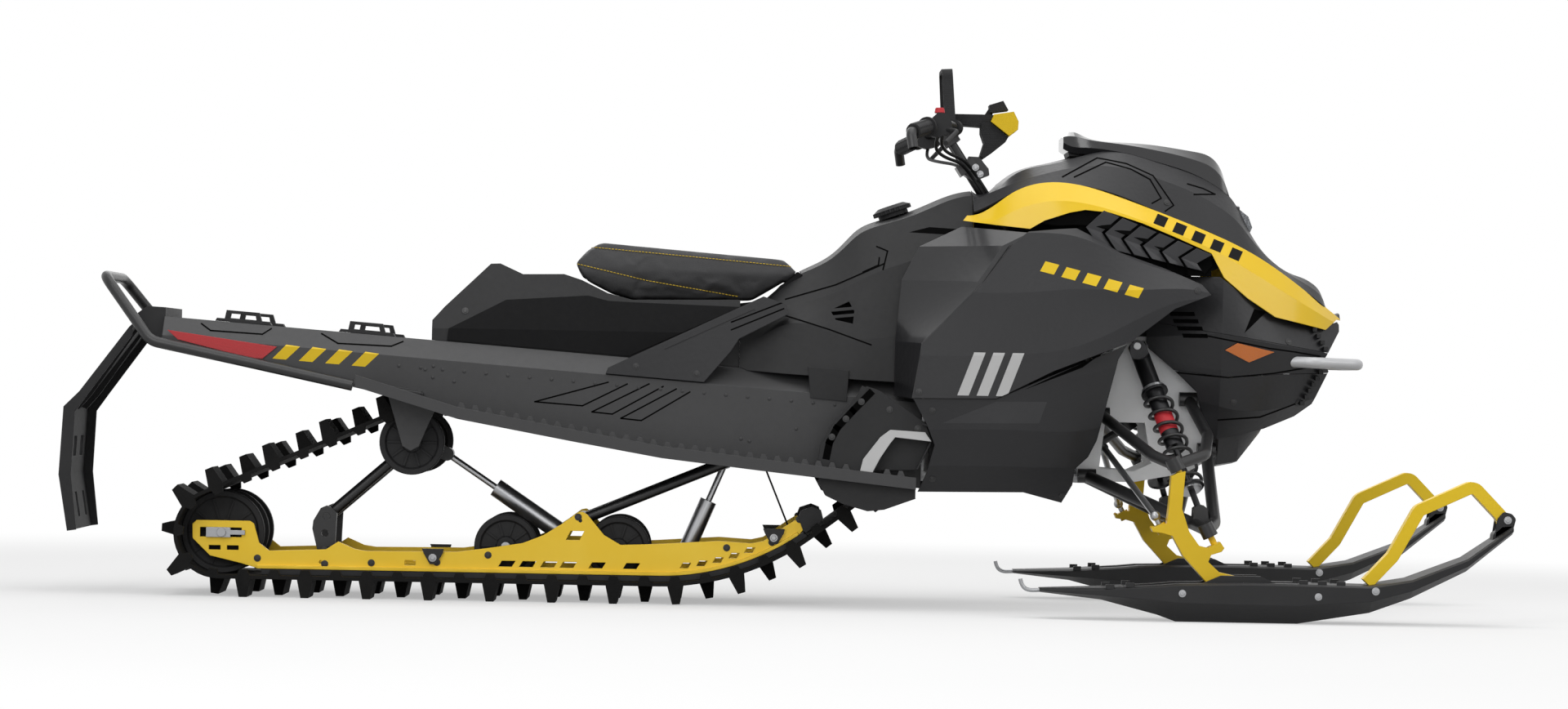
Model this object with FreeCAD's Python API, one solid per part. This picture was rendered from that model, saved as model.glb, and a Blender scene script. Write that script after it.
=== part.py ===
"""Mountain snowmobile, right way up on flat ground. Millimetres.

+X is forward, +Y is the machine's left and +Z is up. The origin lies on the ground under the
middle of the machine. The chassis carries the tunnel, the bodywork, the front arms and the slide-rail
suspension with its track. The bar turns in the column, each knuckle turns on its ball joints, and each
ski rocks on its bolt.
"""

import FreeCAD
import Part
import math
import os

Vector = FreeCAD.Vector

# The drawing's datum, set so that the finished machine is centred on the origin
DATUM_X = 8.5

# General clearances
GAP = 0.3            # between pieces that are seated on each other
SEAM = 0.8           # between neighbouring body panels
SKIN = 5.0           # wall of the moulded body panels
LENS = 3.0           # wall of the lamp lenses

# Track and its running gear
TRACK_WIDTH = 381.0
BELT = 8.0           # thickness of the track's rubber belt
LUG_HEIGHT = 40.0    # from the belt's outer face to the lug's tip
LUG_ROWS = 51
LUG_BASE = 34.0
LUG_TIP = 17.0
LUG_CENTRE_WIDTH = 150.0
GUIDE_HEIGHT = 13.0  # guide lugs on the belt's inner face, along both edges
GUIDE_WIDTH = 17.0
IDLER_R = 92.0
IDLER_X = -1230.0
CARRIER_R = 72.0
CARRIER_X = -811.0
CARRIER_Z = 347.0
SPROCKET_R = 88.0
SPROCKET_X = 170.0
SPROCKET_Z = 343.0
BOW_R = 560.0        # upward curve of the track and rails at the front
BOW_LEAD = 0.91525   # the sprocket's place before the bow's centre, as a share of the difference of their radii
BOW_X = SPROCKET_X - BOW_LEAD * (BOW_R - SPROCKET_R)
BOW_END = 34.5       # degrees of bow that the rails follow
BOGIE_R = 71.0
BOGIE_X = (-602.0, -353.0)
WHEEL_WIDTH = 22.0
BELT_INNER_Z = LUG_HEIGHT + BELT
IDLER_Z = BELT_INNER_Z + IDLER_R
BOGIE_Z = BELT_INNER_Z + BOGIE_R + GAP
BOW_Z = BELT_INNER_Z + BOW_R

# Slide rails
RAIL_Y = 128.0
RAIL_WEB = 8.0
RAIL_FLANGE = 30.0
RAIL_FLANGE_T = 7.0
SLIDER_T = 13.0
SLIDER_WIDTH = 26.0
RAIL_FOOT_Z = BELT_INNER_Z + GAP + SLIDER_T + GAP

# Tunnel
TUNNEL_WIDTH = 412.0
TUNNEL_TOP_WIDTH = 332.0
TUNNEL_CHAMFER = 42.0
TUNNEL_SHEET = 3.0
TUNNEL_REAR = (-1361.0, 615.0)
TUNNEL_FRONT = (312.0, 497.5)
BOARD_EDGE_Y = 312.0
BOARD_SHEET = 4.0
BOARD_FRONT = 298.0
BOARD_EDGE_WIDTH = 12.0
BOARD_LIP = 24.0     # how far the board's outer edge stands above the board
TOOTH_HEIGHT = 12.0
TOOTH_PITCH = 30.0
TOOTH_START = -704.0
TOE_RAIL_FOOT = (176.0, 203.0)

# Front end
SKI_STANCE = 935.0
SKI_WIDTH = 150.0
KINGPIN_TOP = (847.0, 335.0)
KINGPIN_FOOT = (937.0, 160.0)
SKI_BOLT = (993.0, 75.0)
SKI_BOLT_R = 7.0
KNUCKLE_WIDTH = 38.0
SKI_CHANNEL = 60.0
ARM_TUBE_R = 12.5
BULKHEAD_HALF = 112.0
BULKHEAD_WALL = 8.0

# Steering
COLUMN_TOP = (430.0, 955.0)
COLUMN_ANGLE = 33.0
COLUMN_LENGTH = 660.0
COLUMN_R = 13.0
PITMAN_LENGTH = 72.0
BAR_R = 11.1
GRIP_R = 17.0
BAR_CENTRE = (386.0, 1068.0)
BAR_MIDDLE = 60.0    # half the length of the bar's straight middle
BAR_BEND = (344.0, 215.0, 1074.0)
BAR_END = (270.0, 372.0, 1042.0)
BAR_HOOK = (276.0, 384.0, 1006.0)
BAR_BORE_R = 8.5
BAR_BORE_DEPTH = 24.0
COLUMN_STUB = 24.0   # how far the column stands out of the hood
STRAP_Y = 92.0       # where the grab strap's ends hold the bar


def vec(x, y, z):
    """A point or direction."""
    return Vector(x, y, z)


def prism(points, y0, y1):
    """The side-view outline (x, z) carried across from y0 to y1. A point pair inside is a 3-point arc."""
    edges = []
    last = None
    first = None
    for item in points:
        if isinstance(item[0], tuple):
            mid, end = item
            edges.append(Part.Arc(last, vec(mid[0], y0, mid[1]), vec(end[0], y0, end[1])).toShape())
            last = vec(end[0], y0, end[1])
            continue
        here = vec(item[0], y0, item[1])
        if last is None:
            first = here
        else:
            edges.append(Part.makeLine(last, here))
        last = here
    if (last - first).Length > 1e-6:
        edges.append(Part.makeLine(last, first))
    return Part.Face(Part.Wire(edges)).extrude(vec(0, y1 - y0, 0))


def box(x0, x1, y0, y1, z0, z1):
    """A block between two corners."""
    return Part.makeBox(x1 - x0, y1 - y0, z1 - z0, vec(x0, y0, z0))


def rod(a, b, radius):
    """A round bar from point a to point b."""
    a, b = Vector(*a), Vector(*b)
    return Part.makeCylinder(radius, (b - a).Length, a, b - a)


def lateral(x, z, radius, y0, y1):
    """A round bar across the machine."""
    return rod((x, y0, z), (x, y1, z), radius)


def mirrored(shape):
    """The same piece on the other side."""
    return shape.mirror(vec(0, 0, 0), vec(0, 1, 0))


def both(*shapes):
    """Each piece and its mirror image."""
    return [s for shape in shapes for s in (shape, mirrored(shape))]


def fused(first, *others):
    """One solid from pieces that meet."""
    return first.fuse(list(others)).removeSplitter() if others else first


def bent_path(points, bend):
    """A wire of straight runs joined by tangent arcs of radius bend."""
    pts = [Vector(*p) for p in points]
    edges = []
    start = pts[0]
    for before, corner, after in zip(pts, pts[1:], pts[2:]):
        u = (before - corner).normalize()
        w = (after - corner).normalize()
        half = u.getAngle(w) / 2
        reach = bend / math.tan(half)
        a, b = corner + u * reach, corner + w * reach
        middle = (u + w).normalize()
        mid = corner + middle * (bend / math.sin(half) - bend)
        edges.append(Part.makeLine(start, a))
        edges.append(Part.Arc(a, mid, b).toShape())
        start = b
    edges.append(Part.makeLine(start, pts[-1]))
    return Part.Wire(edges)


def swept(profile, path):
    """A solid from a closed profile carried along a path."""
    return path.makePipeShell([profile], True, True)


def tube(points, radius, bend):
    """A bent round tube."""
    path = bent_path(points, bend)
    start = Vector(*points[0])
    direction = Vector(*points[1]) - start
    ring = Part.Wire([Part.makeCircle(radius, start, direction)])
    return swept(ring, path)


def flat_bar(points, depth, width, bend):
    """A bent bar whose path lies in the side view: depth in that view, width across."""
    path = bent_path(points, bend)
    start = Vector(*points[0])
    along = (Vector(*points[1]) - start).normalize()
    up = along.cross(vec(0, 1, 0)).normalize()
    across = vec(0, 1, 0)
    corners = [start + up * (depth / 2 * a) + across * (width / 2 * b) for a, b in ((1, 1), (1, -1), (-1, -1), (-1, 1))]
    return swept(Part.makePolygon(corners + corners[:1]), path)


def strip(points, width):
    """The side-view outline of a band of constant width along a line of points."""
    left, right = [], []
    for i, p in enumerate(points):
        a = points[max(i - 1, 0)]
        b = points[min(i + 1, len(points) - 1)]
        length = math.dist(a, b)
        n = (-(b[1] - a[1]) / length * width / 2, (b[0] - a[0]) / length * width / 2)
        left.append((p[0] + n[0], p[1] + n[1]))
        right.append((p[0] - n[0], p[1] - n[1]))
    return left + right[::-1]


def inward(line, wall):
    """A half section (y, z) from top to bottom, moved into the body by the wall."""
    moved = []
    for i, p in enumerate(line):
        normals = []
        for a, b in ((i - 1, i), (i, i + 1)):
            if 0 <= a and b < len(line):
                dy, dz = line[b][0] - line[a][0], line[b][1] - line[a][1]
                length = math.hypot(dy, dz)
                normals.append((dz / length, -dy / length))
        sy, sz = sum(n[0] for n in normals), sum(n[1] for n in normals)
        k = wall * len(normals) / (sy * sy + sz * sz)
        moved.append((p[0] + sy * k, p[1] + sz * k))
    return moved


def section(x, points):
    """A closed cross section at station x."""
    corners = [vec(x, y, z) for y, z in points]
    return Part.makePolygon(corners + corners[:1])


def skin(stations, wall, ruled=False):
    """A moulded panel on the left side, lofted through (x, half section) stations."""
    rings = [section(x, list(line) + inward(line, wall)[::-1]) for x, line in stations]
    return Part.makeLoft(rings, True, ruled)


def deck(stations, wall, ruled=False):
    """A moulded panel across the middle: each half section starts on the centre line."""
    rings = []
    for x, line in stations:
        inner = inward(line, wall)
        inner[0] = (0, line[0][1] - wall)
        full = [(-y, z) for y, z in line[:0:-1]] + list(line)
        full_inner = [(-y, z) for y, z in inner[:0:-1]] + inner
        rings.append(section(x, full + full_inner[::-1]))
    return Part.makeLoft(rings, True, ruled)


def hull_loft(stations, ruled=False):
    """A closed form across the middle: each half section runs from the top centre to the bottom centre."""
    rings = []
    for x, line in stations:
        left = [(-y, z) for y, z in line[-2:0:-1]]
        rings.append(section(x, list(line) + left))
    return Part.makeLoft(rings, True, ruled)


def ribbon(line_a, line_b, shift):
    """A panel between two 3-D edges, given its wall by a shift."""
    shift = Vector(*shift)
    rings = []
    for a, b in zip(line_a, line_b):
        a, b = Vector(*a), Vector(*b)
        rings.append(Part.makePolygon([a, b, b + shift, a + shift, a]))
    return Part.makeLoft(rings, True, True)


def trimmed(shape, outline, y0=-600.0, y1=600.0):
    """What of a shape lies inside a side-view outline."""
    return shape.common(prism(outline, y0, y1))


def export(name, shapes):
    """Writes one node."""
    shapes = shapes if isinstance(shapes, (list, tuple)) else [shapes]
    solids = [s for shape in shapes for s in shape.Solids]
    for s in solids:
        assert s.isValid() and s.Volume > 0, name
    node = Part.Compound(solids)
    node.translate(vec(DATUM_X, 0, 0))
    node.exportStep(os.path.join("parts", name + ".step"))


# Side-view lines that several pieces share

def tunnel_top(x):
    """Height of the tunnel's top face."""
    (x0, z0), (x1, z1) = TUNNEL_REAR, TUNNEL_FRONT
    return z0 + (z1 - z0) * (x - x0) / (x1 - x0)


BOARD_LINE = [(-1361, 556), (-927, 470), (-703, 404), (-454, 360), (-257, 327), (-26, 302), (313, 267)]


def board_z(x):
    """Height of the running board at x."""
    for (x0, z0), (x1, z1) in zip(BOARD_LINE, BOARD_LINE[1:]):
        if x <= x1:
            return z0 + (z1 - z0) * (x - x0) / (x1 - x0)
    return BOARD_LINE[-1][1]


# Track

class BeltPath:
    """The belt's closed path round its wheels and the rails' bow, by distance along its inner face."""

    def __init__(self, circles):
        count = len(circles)
        self.runs = []
        headings = []
        for i, (x1, z1, r1) in enumerate(circles):
            x2, z2, r2 = circles[(i + 1) % count]
            heading = math.atan2(z2 - z1, x2 - x1)
            headings.append(heading + math.asin((r1 - r2) / math.hypot(x2 - x1, z2 - z1)))
        for i, (x, z, r) in enumerate(circles):
            start, end = headings[i - 1], headings[i]
            while end < start:
                end += 2 * math.pi
            self.runs.append(("arc", x, z, r, start, end, r * (end - start)))
            x2, z2, r2 = circles[(i + 1) % count]
            n = (math.sin(end), -math.cos(end))
            a = (x + r * n[0], z + r * n[1])
            b = (x2 + r2 * n[0], z2 + r2 * n[1])
            self.runs.append(("line", a, b, end, math.dist(a, b)))
        self.length = sum(run[-1] for run in self.runs)

    def at(self, s):
        """Point and heading at distance s."""
        s %= self.length
        for run in self.runs:
            if s > run[-1]:
                s -= run[-1]
                continue
            if run[0] == "line":
                _, a, b, heading, length = run
                k = s / length
                return (a[0] + (b[0] - a[0]) * k, a[1] + (b[1] - a[1]) * k), heading
            _, x, z, r, start, _, _ = run
            heading = start + s / r
            return (x + r * math.sin(heading), z - r * math.cos(heading)), heading
        return self.at(0)

    def out(self, s, height, along=0.0):
        """A point outside the inner face by height, shifted along the belt."""
        (x, z), h = self.at(s)
        return (x + height * math.sin(h) + along * math.cos(h), z - height * math.cos(h) + along * math.sin(h))

    def bends(self, sag):
        """Distances at which a faceted belt needs a corner, to stay within sag of its curve."""
        marks, s = [], 0.0
        for run in self.runs:
            if run[0] == "arc":
                n = math.ceil((run[5] - run[4]) / (2 * math.acos(1 - sag / run[3])))
                marks += [s + run[-1] * k / n for k in range(n + 1)]
            s += run[-1]
        return marks


def belt_path():
    """The path of this machine's track."""
    return BeltPath([
        (IDLER_X, IDLER_Z, IDLER_R),
        (BOW_X, BOW_Z, BOW_R),
        (SPROCKET_X, SPROCKET_Z, SPROCKET_R),
        (CARRIER_X, CARRIER_Z, CARRIER_R),
    ])


def belt_side(path, rows, base, tip, inner, outer):
    """One face line of the belt, with a tooth at each of rows standing from inner to outer."""
    marks = [(s, "bend") for s in path.bends(0.28)]
    marks = [m for m in marks if all(abs((m[0] - r + path.length / 2) % path.length - path.length / 2) > base / 2 + 1
                                     for r in rows)]
    marks += [(r, "tooth") for r in rows]
    points = []
    for s, kind in sorted(marks):
        if kind == "bend":
            points.append(path.out(s, inner))
            continue
        for along, height in ((-base, inner), (-tip, outer), (tip, outer), (base, inner)):
            points.append(path.out(s + (along / 2 if height == inner else 0), height,
                                   0 if height == inner else along / 2))
    return points


def track():
    """The belt with its lugs, as bands side by side: lugs at the edges on even rows, in the middle on odd rows."""
    path = belt_path()
    pitch = path.length / LUG_ROWS
    rows = [pitch * (i + 0.5) for i in range(LUG_ROWS)]
    edge_rows = rows[0::2]
    middle_rows = rows[1::2]
    half, mid = TRACK_WIDTH / 2, LUG_CENTRE_WIDTH / 2
    inner_plain = belt_side(path, [], 0, 0, 0, 0)
    inner_guides = belt_side(path, rows, GUIDE_WIDTH * 1.6, GUIDE_WIDTH, 0, -GUIDE_HEIGHT)
    outer_edge = belt_side(path, edge_rows, LUG_BASE, LUG_TIP, BELT, BELT + LUG_HEIGHT)
    outer_middle = belt_side(path, middle_rows, LUG_BASE, LUG_TIP, BELT, BELT + LUG_HEIGHT)

    def band(outer, inner, y0, y1):
        faces = [Part.Face(Part.makePolygon([vec(x, y0, z) for x, z in ring + ring[:1]])) for ring in (outer, inner)]
        return faces[0].cut(faces[1]).extrude(vec(0, y1 - y0, 0))

    guide = half - GUIDE_WIDTH
    bands = [
        band(outer_edge, inner_guides, -half, -guide),
        band(outer_edge, inner_plain, -guide, -mid),
        band(outer_middle, inner_plain, -mid, mid),
        band(outer_edge, inner_plain, mid, guide),
        band(outer_edge, inner_guides, guide, half),
    ]
    return fused(*bands)


def wheel(x, z, y, radius, width, hub, bore):
    """A bogie wheel: hub, dished web and rubber-shod rim, with its bore."""
    rim, web = radius - 12.0, 3.5
    half = width / 2
    profile = [
        (bore, -half), (hub, -half), (hub + 3, -web), (rim - 4, -web), (rim, -half), (radius - 2, -half),
        (radius, -half + 2), (radius, half - 2), (radius - 2, half), (rim, half), (rim - 4, web), (hub + 3, web),
        (hub, half), (bore, half),
    ]
    face = Part.Face(Part.makePolygon([vec(x + r, y + w, z) for r, w in profile + profile[:1]]))
    return face.revolve(vec(x, y, z), vec(0, 1, 0), 360)


IDLER_Y = (-100.0, 0.0, 100.0)
CARRIER_Y = (-156.0, 156.0)
BOGIE_Y = (-96.0, 96.0)
AXLE_R = 10.0
WALL_Y = TUNNEL_WIDTH / 2 - TUNNEL_SHEET - GAP   # where cross tubes end at the tunnel's walls
WEB_Y = RAIL_Y - RAIL_WEB / 2 - GAP              # where cross bars end at the rails' webs
ADJUSTER_Y = RAIL_Y + RAIL_WEB / 2 + GAP         # inner face of the rear axle's adjusters
PIN_R = 8.0
FRONT_ARM = ((-437.0, 180.0), (-46.0, 343.0))
REAR_ARM = ((-1003.0, 178.0), (CARRIER_X, CARRIER_Z))
REAR_SHOCK = ((-742.0, 320.0), (-482.0, 147.0))
FRONT_SHOCK = ((-118.0, 313.0), (-206.0, 106.0))
STRAP_BAR = (28.0, 165.0)


def idler_wheels():
    """The large rear wheels on the adjustable axle."""
    return [wheel(IDLER_X, IDLER_Z, y, IDLER_R - GAP, WHEEL_WIDTH, 24, AXLE_R + GAP) for y in IDLER_Y]


def small_wheels():
    """The carrier wheels under the tunnel and the bogie wheels between the rails."""
    carriers = [wheel(CARRIER_X, CARRIER_Z, y, CARRIER_R - GAP, WHEEL_WIDTH, 20, AXLE_R + GAP) for y in CARRIER_Y]
    bogies = [wheel(x, BOGIE_Z, y, BOGIE_R - GAP, WHEEL_WIDTH, 20, AXLE_R + GAP) for x in BOGIE_X for y in BOGIE_Y]
    return carriers + bogies


def axles():
    """Cross shafts of the wheels."""
    idler = lateral(IDLER_X, IDLER_Z, AXLE_R, -ADJUSTER_Y - 14, ADJUSTER_Y + 14)
    carrier = lateral(CARRIER_X, CARRIER_Z, AXLE_R, -WALL_Y, WALL_Y)
    block = prism([(IDLER_X - 34, IDLER_Z - 11), (IDLER_X - 34, IDLER_Z + 11), (IDLER_X + 20, IDLER_Z + 11),
                   (IDLER_X + 20, IDLER_Z + 5), (IDLER_X + 52, IDLER_Z + 5), (IDLER_X + 52, IDLER_Z - 5),
                   (IDLER_X + 20, IDLER_Z - 5), (IDLER_X + 20, IDLER_Z - 11)], ADJUSTER_Y, ADJUSTER_Y + 8)
    idler = fused(idler, *both(block))
    return [idler, carrier] + [lateral(x, BOGIE_Z, AXLE_R, -WEB_Y, WEB_Y) for x in BOGIE_X]


def drive_axle():
    """Drive axle in the tunnel's nose with two eight-tooth sprockets."""
    tooth = SPROCKET_R - GAP
    root = tooth - 16
    points = []
    for k in range(8):
        a = 2 * math.pi * k / 8
        for offset, r in ((-0.30, root), (-0.16, tooth), (0.16, tooth), (0.30, root)):
            points.append((SPROCKET_X + r * math.cos(a + offset), SPROCKET_Z + r * math.sin(a + offset)))
    shaft = lateral(SPROCKET_X, SPROCKET_Z, 14, -TUNNEL_WIDTH / 2 + TUNNEL_SHEET + GAP,
                    TUNNEL_WIDTH / 2 - TUNNEL_SHEET - GAP)
    wheels = [prism(points, y - 14, y + 14) for y in (-96, 96)]
    return fused(shaft, *wheels)


RAIL_NOSE = [(8.4, 38.4), (29.6, 38.4), (32.4, 33.66), (26.7, 26.5), (32.7, 23.5)]   # inset from the foot, angle
RAIL_TOP = [
    (-130, 141), (-275, 131), (-347, 128), (-384, 149),
    (-421, 193), (-432, 200), (-443, 198), (-475, 174), (-519, 146), (-564, 128), (-637, 116), (-709, 106),
    (-908, 104), (-935, 108), (-972, 124), (-999, 106), (-1125, 101), (-1147, 118), (-1159, 160), (-1168, 166),
    (-1286, 166), (-1295, 157), (-1294, 126), (-1255, 88), (-1185, 72),
]
RAIL_TIP = [(12, 2), (28, 14), (44, 22), (53, 38), (48, 56), (30, 63), (4, 54), (-2, 38)]   # from the foot's end


def bow_point(radius, angle):
    """A point on the bow, angle degrees after the flat stretch."""
    a = math.radians(angle)
    return (BOW_X + radius * math.sin(a), BOW_Z - radius * math.cos(a))


def rail_blank(clearance):
    """One rail before its windows are cut: web and foot flange, grown across by a clearance."""
    foot_r = BOW_Z - RAIL_FOOT_Z
    top_r = foot_r - RAIL_FLANGE_T
    tip, mid = bow_point(foot_r, BOW_END), bow_point(foot_r, BOW_END / 2)
    nose = [bow_point(foot_r - inset, angle) for inset, angle in RAIL_NOSE]
    outline = [(-1150, RAIL_FOOT_Z), (BOW_X, RAIL_FOOT_Z), (mid, tip)] + nose + RAIL_TOP
    foot = [(-1150, RAIL_FOOT_Z), (BOW_X, RAIL_FOOT_Z), (mid, tip), bow_point(top_r, BOW_END),
            (bow_point(top_r, BOW_END / 2), (BOW_X, RAIL_FOOT_Z + RAIL_FLANGE_T)),
            (-1150, RAIL_FOOT_Z + RAIL_FLANGE_T)]
    web, flange = RAIL_WEB / 2 + clearance, RAIL_FLANGE / 2 + clearance
    return fused(prism(outline, RAIL_Y - web, RAIL_Y + web), prism(foot, RAIL_Y - flange, RAIL_Y + flange))


def slide_rails():
    """The two rails: a deep web with its windows, on a foot flange that follows the bow."""
    foot_r = BOW_Z - RAIL_FOOT_Z
    cuts = [window(x, RAIL_FOOT_Z + 20, 30, 13, 8) for x in (-598, -552, -505, -462, -398, -322)]
    cuts += [window(bow_point(foot_r - 20, a)[0], bow_point(foot_r - 20, a)[1], 18, 12, 7)
             for a in (6.5, 10.5, 14.5, 18.5, 22.5)]
    cuts += [window(-1232, IDLER_Z, 92, 2 * AXLE_R + 1, 0), window(-1245, 106, 26, 10, 0),
             window(-1205, 106, 26, 10, 0)]
    cuts += [window(-448, 147, 30, 20, 10), window(-812, RAIL_FOOT_Z + 18, 24, 11, 0)]
    cuts += [lateral(x, z, 4, 0, 300) for x, z in ((-437, 180), (-1010, RAIL_FOOT_Z + 16))]
    return both(rail_blank(0).cut(cuts))


def window(x, z, length, height, lean):
    """A cutter for a leaning slot in a rail."""
    half, h = length / 2, height / 2
    return prism([(x - half - lean / 2, z - h), (x + half - lean / 2, z - h), (x + half + lean / 2, z + h),
                  (x - half + lean / 2, z + h)], 0, 300)


def sliders():
    """Wear strips under the rails, and the moulded tips at the rails' front ends."""
    top_r = BOW_Z - RAIL_FOOT_Z + GAP
    low_r = top_r + SLIDER_T
    top_z, low_z = BOW_Z - top_r, BOW_Z - low_r
    line = [(-1140, low_z), (BOW_X, low_z), (bow_point(low_r, 18), bow_point(low_r, 36)), bow_point(top_r, 36),
            (bow_point(top_r, 18), (BOW_X, top_z)), (-1140, top_z)]
    strips = prism(line, RAIL_Y - SLIDER_WIDTH / 2, RAIL_Y + SLIDER_WIDTH / 2)
    return both(strips)


def rail_tips():
    """Moulded bumpers at the rails' front ends, and the clamps on the rails."""
    x, z = bow_point(BOW_Z - RAIL_FOOT_Z, BOW_END)
    tip = prism([(x + dx, z + dz) for dx, dz in RAIL_TIP], RAIL_Y - 13, RAIL_Y + 13).cut(rail_blank(GAP))
    clamp_y = RAIL_Y + RAIL_WEB / 2 + GAP
    clamps = [prism([(x - 24, z), (x + 24, z), (x + 22, z - 10), (x + 8, z - 34), (x - 6, z - 34), (x - 20, z - 10)],
                    clamp_y, clamp_y + 10) for x, z in ((-762, 112), (-8, 170))]
    return both(tip, *clamps)


def skid_arms():
    """Front arm to the tunnel's walls, and rear arm on the carrier axle with its shock crank."""
    low, high = FRONT_ARM
    front = [lateral(*low, 15, -WEB_Y, WEB_Y), lateral(*high, 15, -WALL_Y, WALL_Y)]
    front += [rod((low[0], s * 72, low[1]), (high[0], s * 72, high[1]), 12) for s in (-1, 1)]
    front += [lateral(*FRONT_SHOCK[0], PIN_R, -72, 72)]
    low, high = REAR_ARM
    hub = lateral(*high, 19, -120, 120)
    rear = [hub, lateral(*low, 13, -76 + GAP, 76 - GAP), lateral(*low, PIN_R, -88, 88)]
    rear += [rod((low[0], s * 60, low[1]), (high[0], s * 60, high[1]), 12) for s in (-1, 1)]
    crank = strip([high, REAR_SHOCK[0]], 30)
    rear += both(prism(crank, 15, 22))
    rear += [lateral(*REAR_SHOCK[0], 15, 15, 22), lateral(*REAR_SHOCK[0], 15, -22, -15),
             lateral(*REAR_SHOCK[0], PIN_R, -22, 22)]
    rear_arm = fused(*rear).cut(lateral(*high, AXLE_R + GAP, -200, 200))
    return [fused(*front), rear_arm]


def skid_rockers():
    """The rockers that stand on the rails under the rear arm."""
    foot = 86.0
    plate = prism([(-1018, foot), (-1034, 150), (-1032, 168), (-1016, 196), (-1003, 202), (-990, 196), (-980, 186),
                   (-984, foot)], 76, 88)
    pin = lateral(-1003, foot + 18, PIN_R, 88, WEB_Y)
    holes = [lateral(*REAR_ARM[0], PIN_R + GAP, 0, 200), lateral(-1006, 140, 8, 0, 200)]
    return both(fused(plate, pin).cut(holes))


def shock(top, low, radius):
    """A shock absorber in the middle plane between two pins."""
    a, b = vec(top[0], 0, top[1]), vec(low[0], 0, low[1])
    d = b - a
    body = rod(a + d * 0.42, b, radius)
    shaft = rod(a, a + d * 0.45, 7)
    eyes = [lateral(p.x, p.z, PIN_R + 7, -14, 14) for p in (a, b)]
    bores = [lateral(p.x, p.z, PIN_R + GAP, -40, 40) for p in (a, b)]
    return fused(body, shaft, *eyes).cut(bores)


def skid_shocks():
    """The rear shock, from the rear arm's crank to the rails, and the front arm's shock."""
    return [shock(*REAR_SHOCK, 21), shock(*FRONT_SHOCK, 19)]


def skid_crossbars():
    """Bars between the rails: two carry the shocks, and the foremost holds the straps."""
    return [lateral(x, z, PIN_R, -WEB_Y, WEB_Y) for x, z in (REAR_SHOCK[1], FRONT_SHOCK[1], STRAP_BAR)]


def limiter_straps():
    """Webbing straps from the front arm down to the rails' front bar."""
    (x0, z0), (x1, z1) = FRONT_ARM[1], STRAP_BAR
    length = math.dist((x0, z0), (x1, z1))
    ux, uz = (x1 - x0) / length, (z1 - z0) / length
    top = (x0 + ux * (15 + GAP), z0 + uz * (15 + GAP))
    low = (x1 - ux * (PIN_R + GAP), z1 - uz * (PIN_R + GAP))
    return both(prism(strip([top, low], 4), 28, 56))


# Tunnel, boards and tail

def tunnel_form(grow, front_x, rear_x):
    """The tunnel's outside, grown by a clearance, as a bar along its slope."""
    half, top_half, chamfer = TUNNEL_WIDTH / 2 + grow, TUNNEL_TOP_WIDTH / 2 + grow * 0.4, TUNNEL_CHAMFER
    rings = []
    for x in (rear_x, front_x):
        z = tunnel_top(x) + grow
        rings.append(section(x, [(-top_half, z), (top_half, z), (half, z - chamfer), (half, 150), (-half, 150),
                                 (-half, z - chamfer)]))
    return Part.makeLoft(rings, True, True)


def tunnel():
    """Folded sheet tunnel: chamfered top edges, side walls down to the running boards, axle brackets."""
    rear, front = TUNNEL_REAR[0], TUNNEL_FRONT[0]
    outside = tunnel_form(0, front, rear)
    inside = tunnel_form(-TUNNEL_SHEET, front + 5, rear - 5)
    shell = trimmed(outside.cut(inside), BOARD_LINE + [(front, 600), (rear, 700)])
    wall = TUNNEL_WIDTH / 2 - TUNNEL_SHEET
    bracket = prism([(CARRIER_X - 70, 510), (CARRIER_X - 18, CARRIER_Z - 8), (CARRIER_X, CARRIER_Z - 18),
                     (CARRIER_X + 18, CARRIER_Z - 8), (CARRIER_X + 80, 490)], wall - 5, wall + 1)
    axle = lateral(CARRIER_X, CARRIER_Z, AXLE_R + GAP, 0, wall)
    return fused(shell, *both(bracket.cut(axle)))


def running_boards():
    """Running boards: a plate with traction holes, and a raised outer edge with a row of teeth."""
    inner, outer = TUNNEL_WIDTH / 2 + GAP, BOARD_EDGE_Y - BOARD_EDGE_WIDTH
    line = [(x, z) for x, z in BOARD_LINE if -927 <= x < BOARD_FRONT] + [(BOARD_FRONT, board_z(BOARD_FRONT))]
    low = [(x, z - BOARD_SHEET / 2) for x, z in line]
    plate = prism([(x, z + BOARD_SHEET / 2) for x, z in line] + low[::-1], inner, outer + 2)
    edge = prism([(x, z + BOARD_LIP) for x, z in line] + low[::-1], outer, BOARD_EDGE_Y)
    crest = []
    count = int((BOARD_FRONT - TOOTH_START) // TOOTH_PITCH)
    for i in range(count):
        x = TOOTH_START + i * TOOTH_PITCH
        if not TOE_RAIL_FOOT[0] - 22 < x < TOE_RAIL_FOOT[1] + 4:
            crest += [(x + dx, board_z(x + dx) + BOARD_LIP - 1 + rise)
                      for dx, rise in ((0, 0), (5, TOOTH_HEIGHT), (13, TOOTH_HEIGHT), (18, 0))]
    base = [(x, z + BOARD_LIP - 8) for x, z in line if crest[0][0] < x < crest[-1][0]]
    ends = [(x, z - 8) for x, z in (crest[-1], crest[0])]
    teeth = prism(crest + ends[:1] + base[::-1] + ends[1:], outer, outer + BOARD_SHEET)
    holes = []
    for i in range(17):
        x = -650 + i * 50
        holes.append(box(x - 15, x + 15, inner + 22, outer - 22, board_z(x) - 20, board_z(x) + 20))
    return both(fused(plate.cut(holes), edge, teeth))


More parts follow.
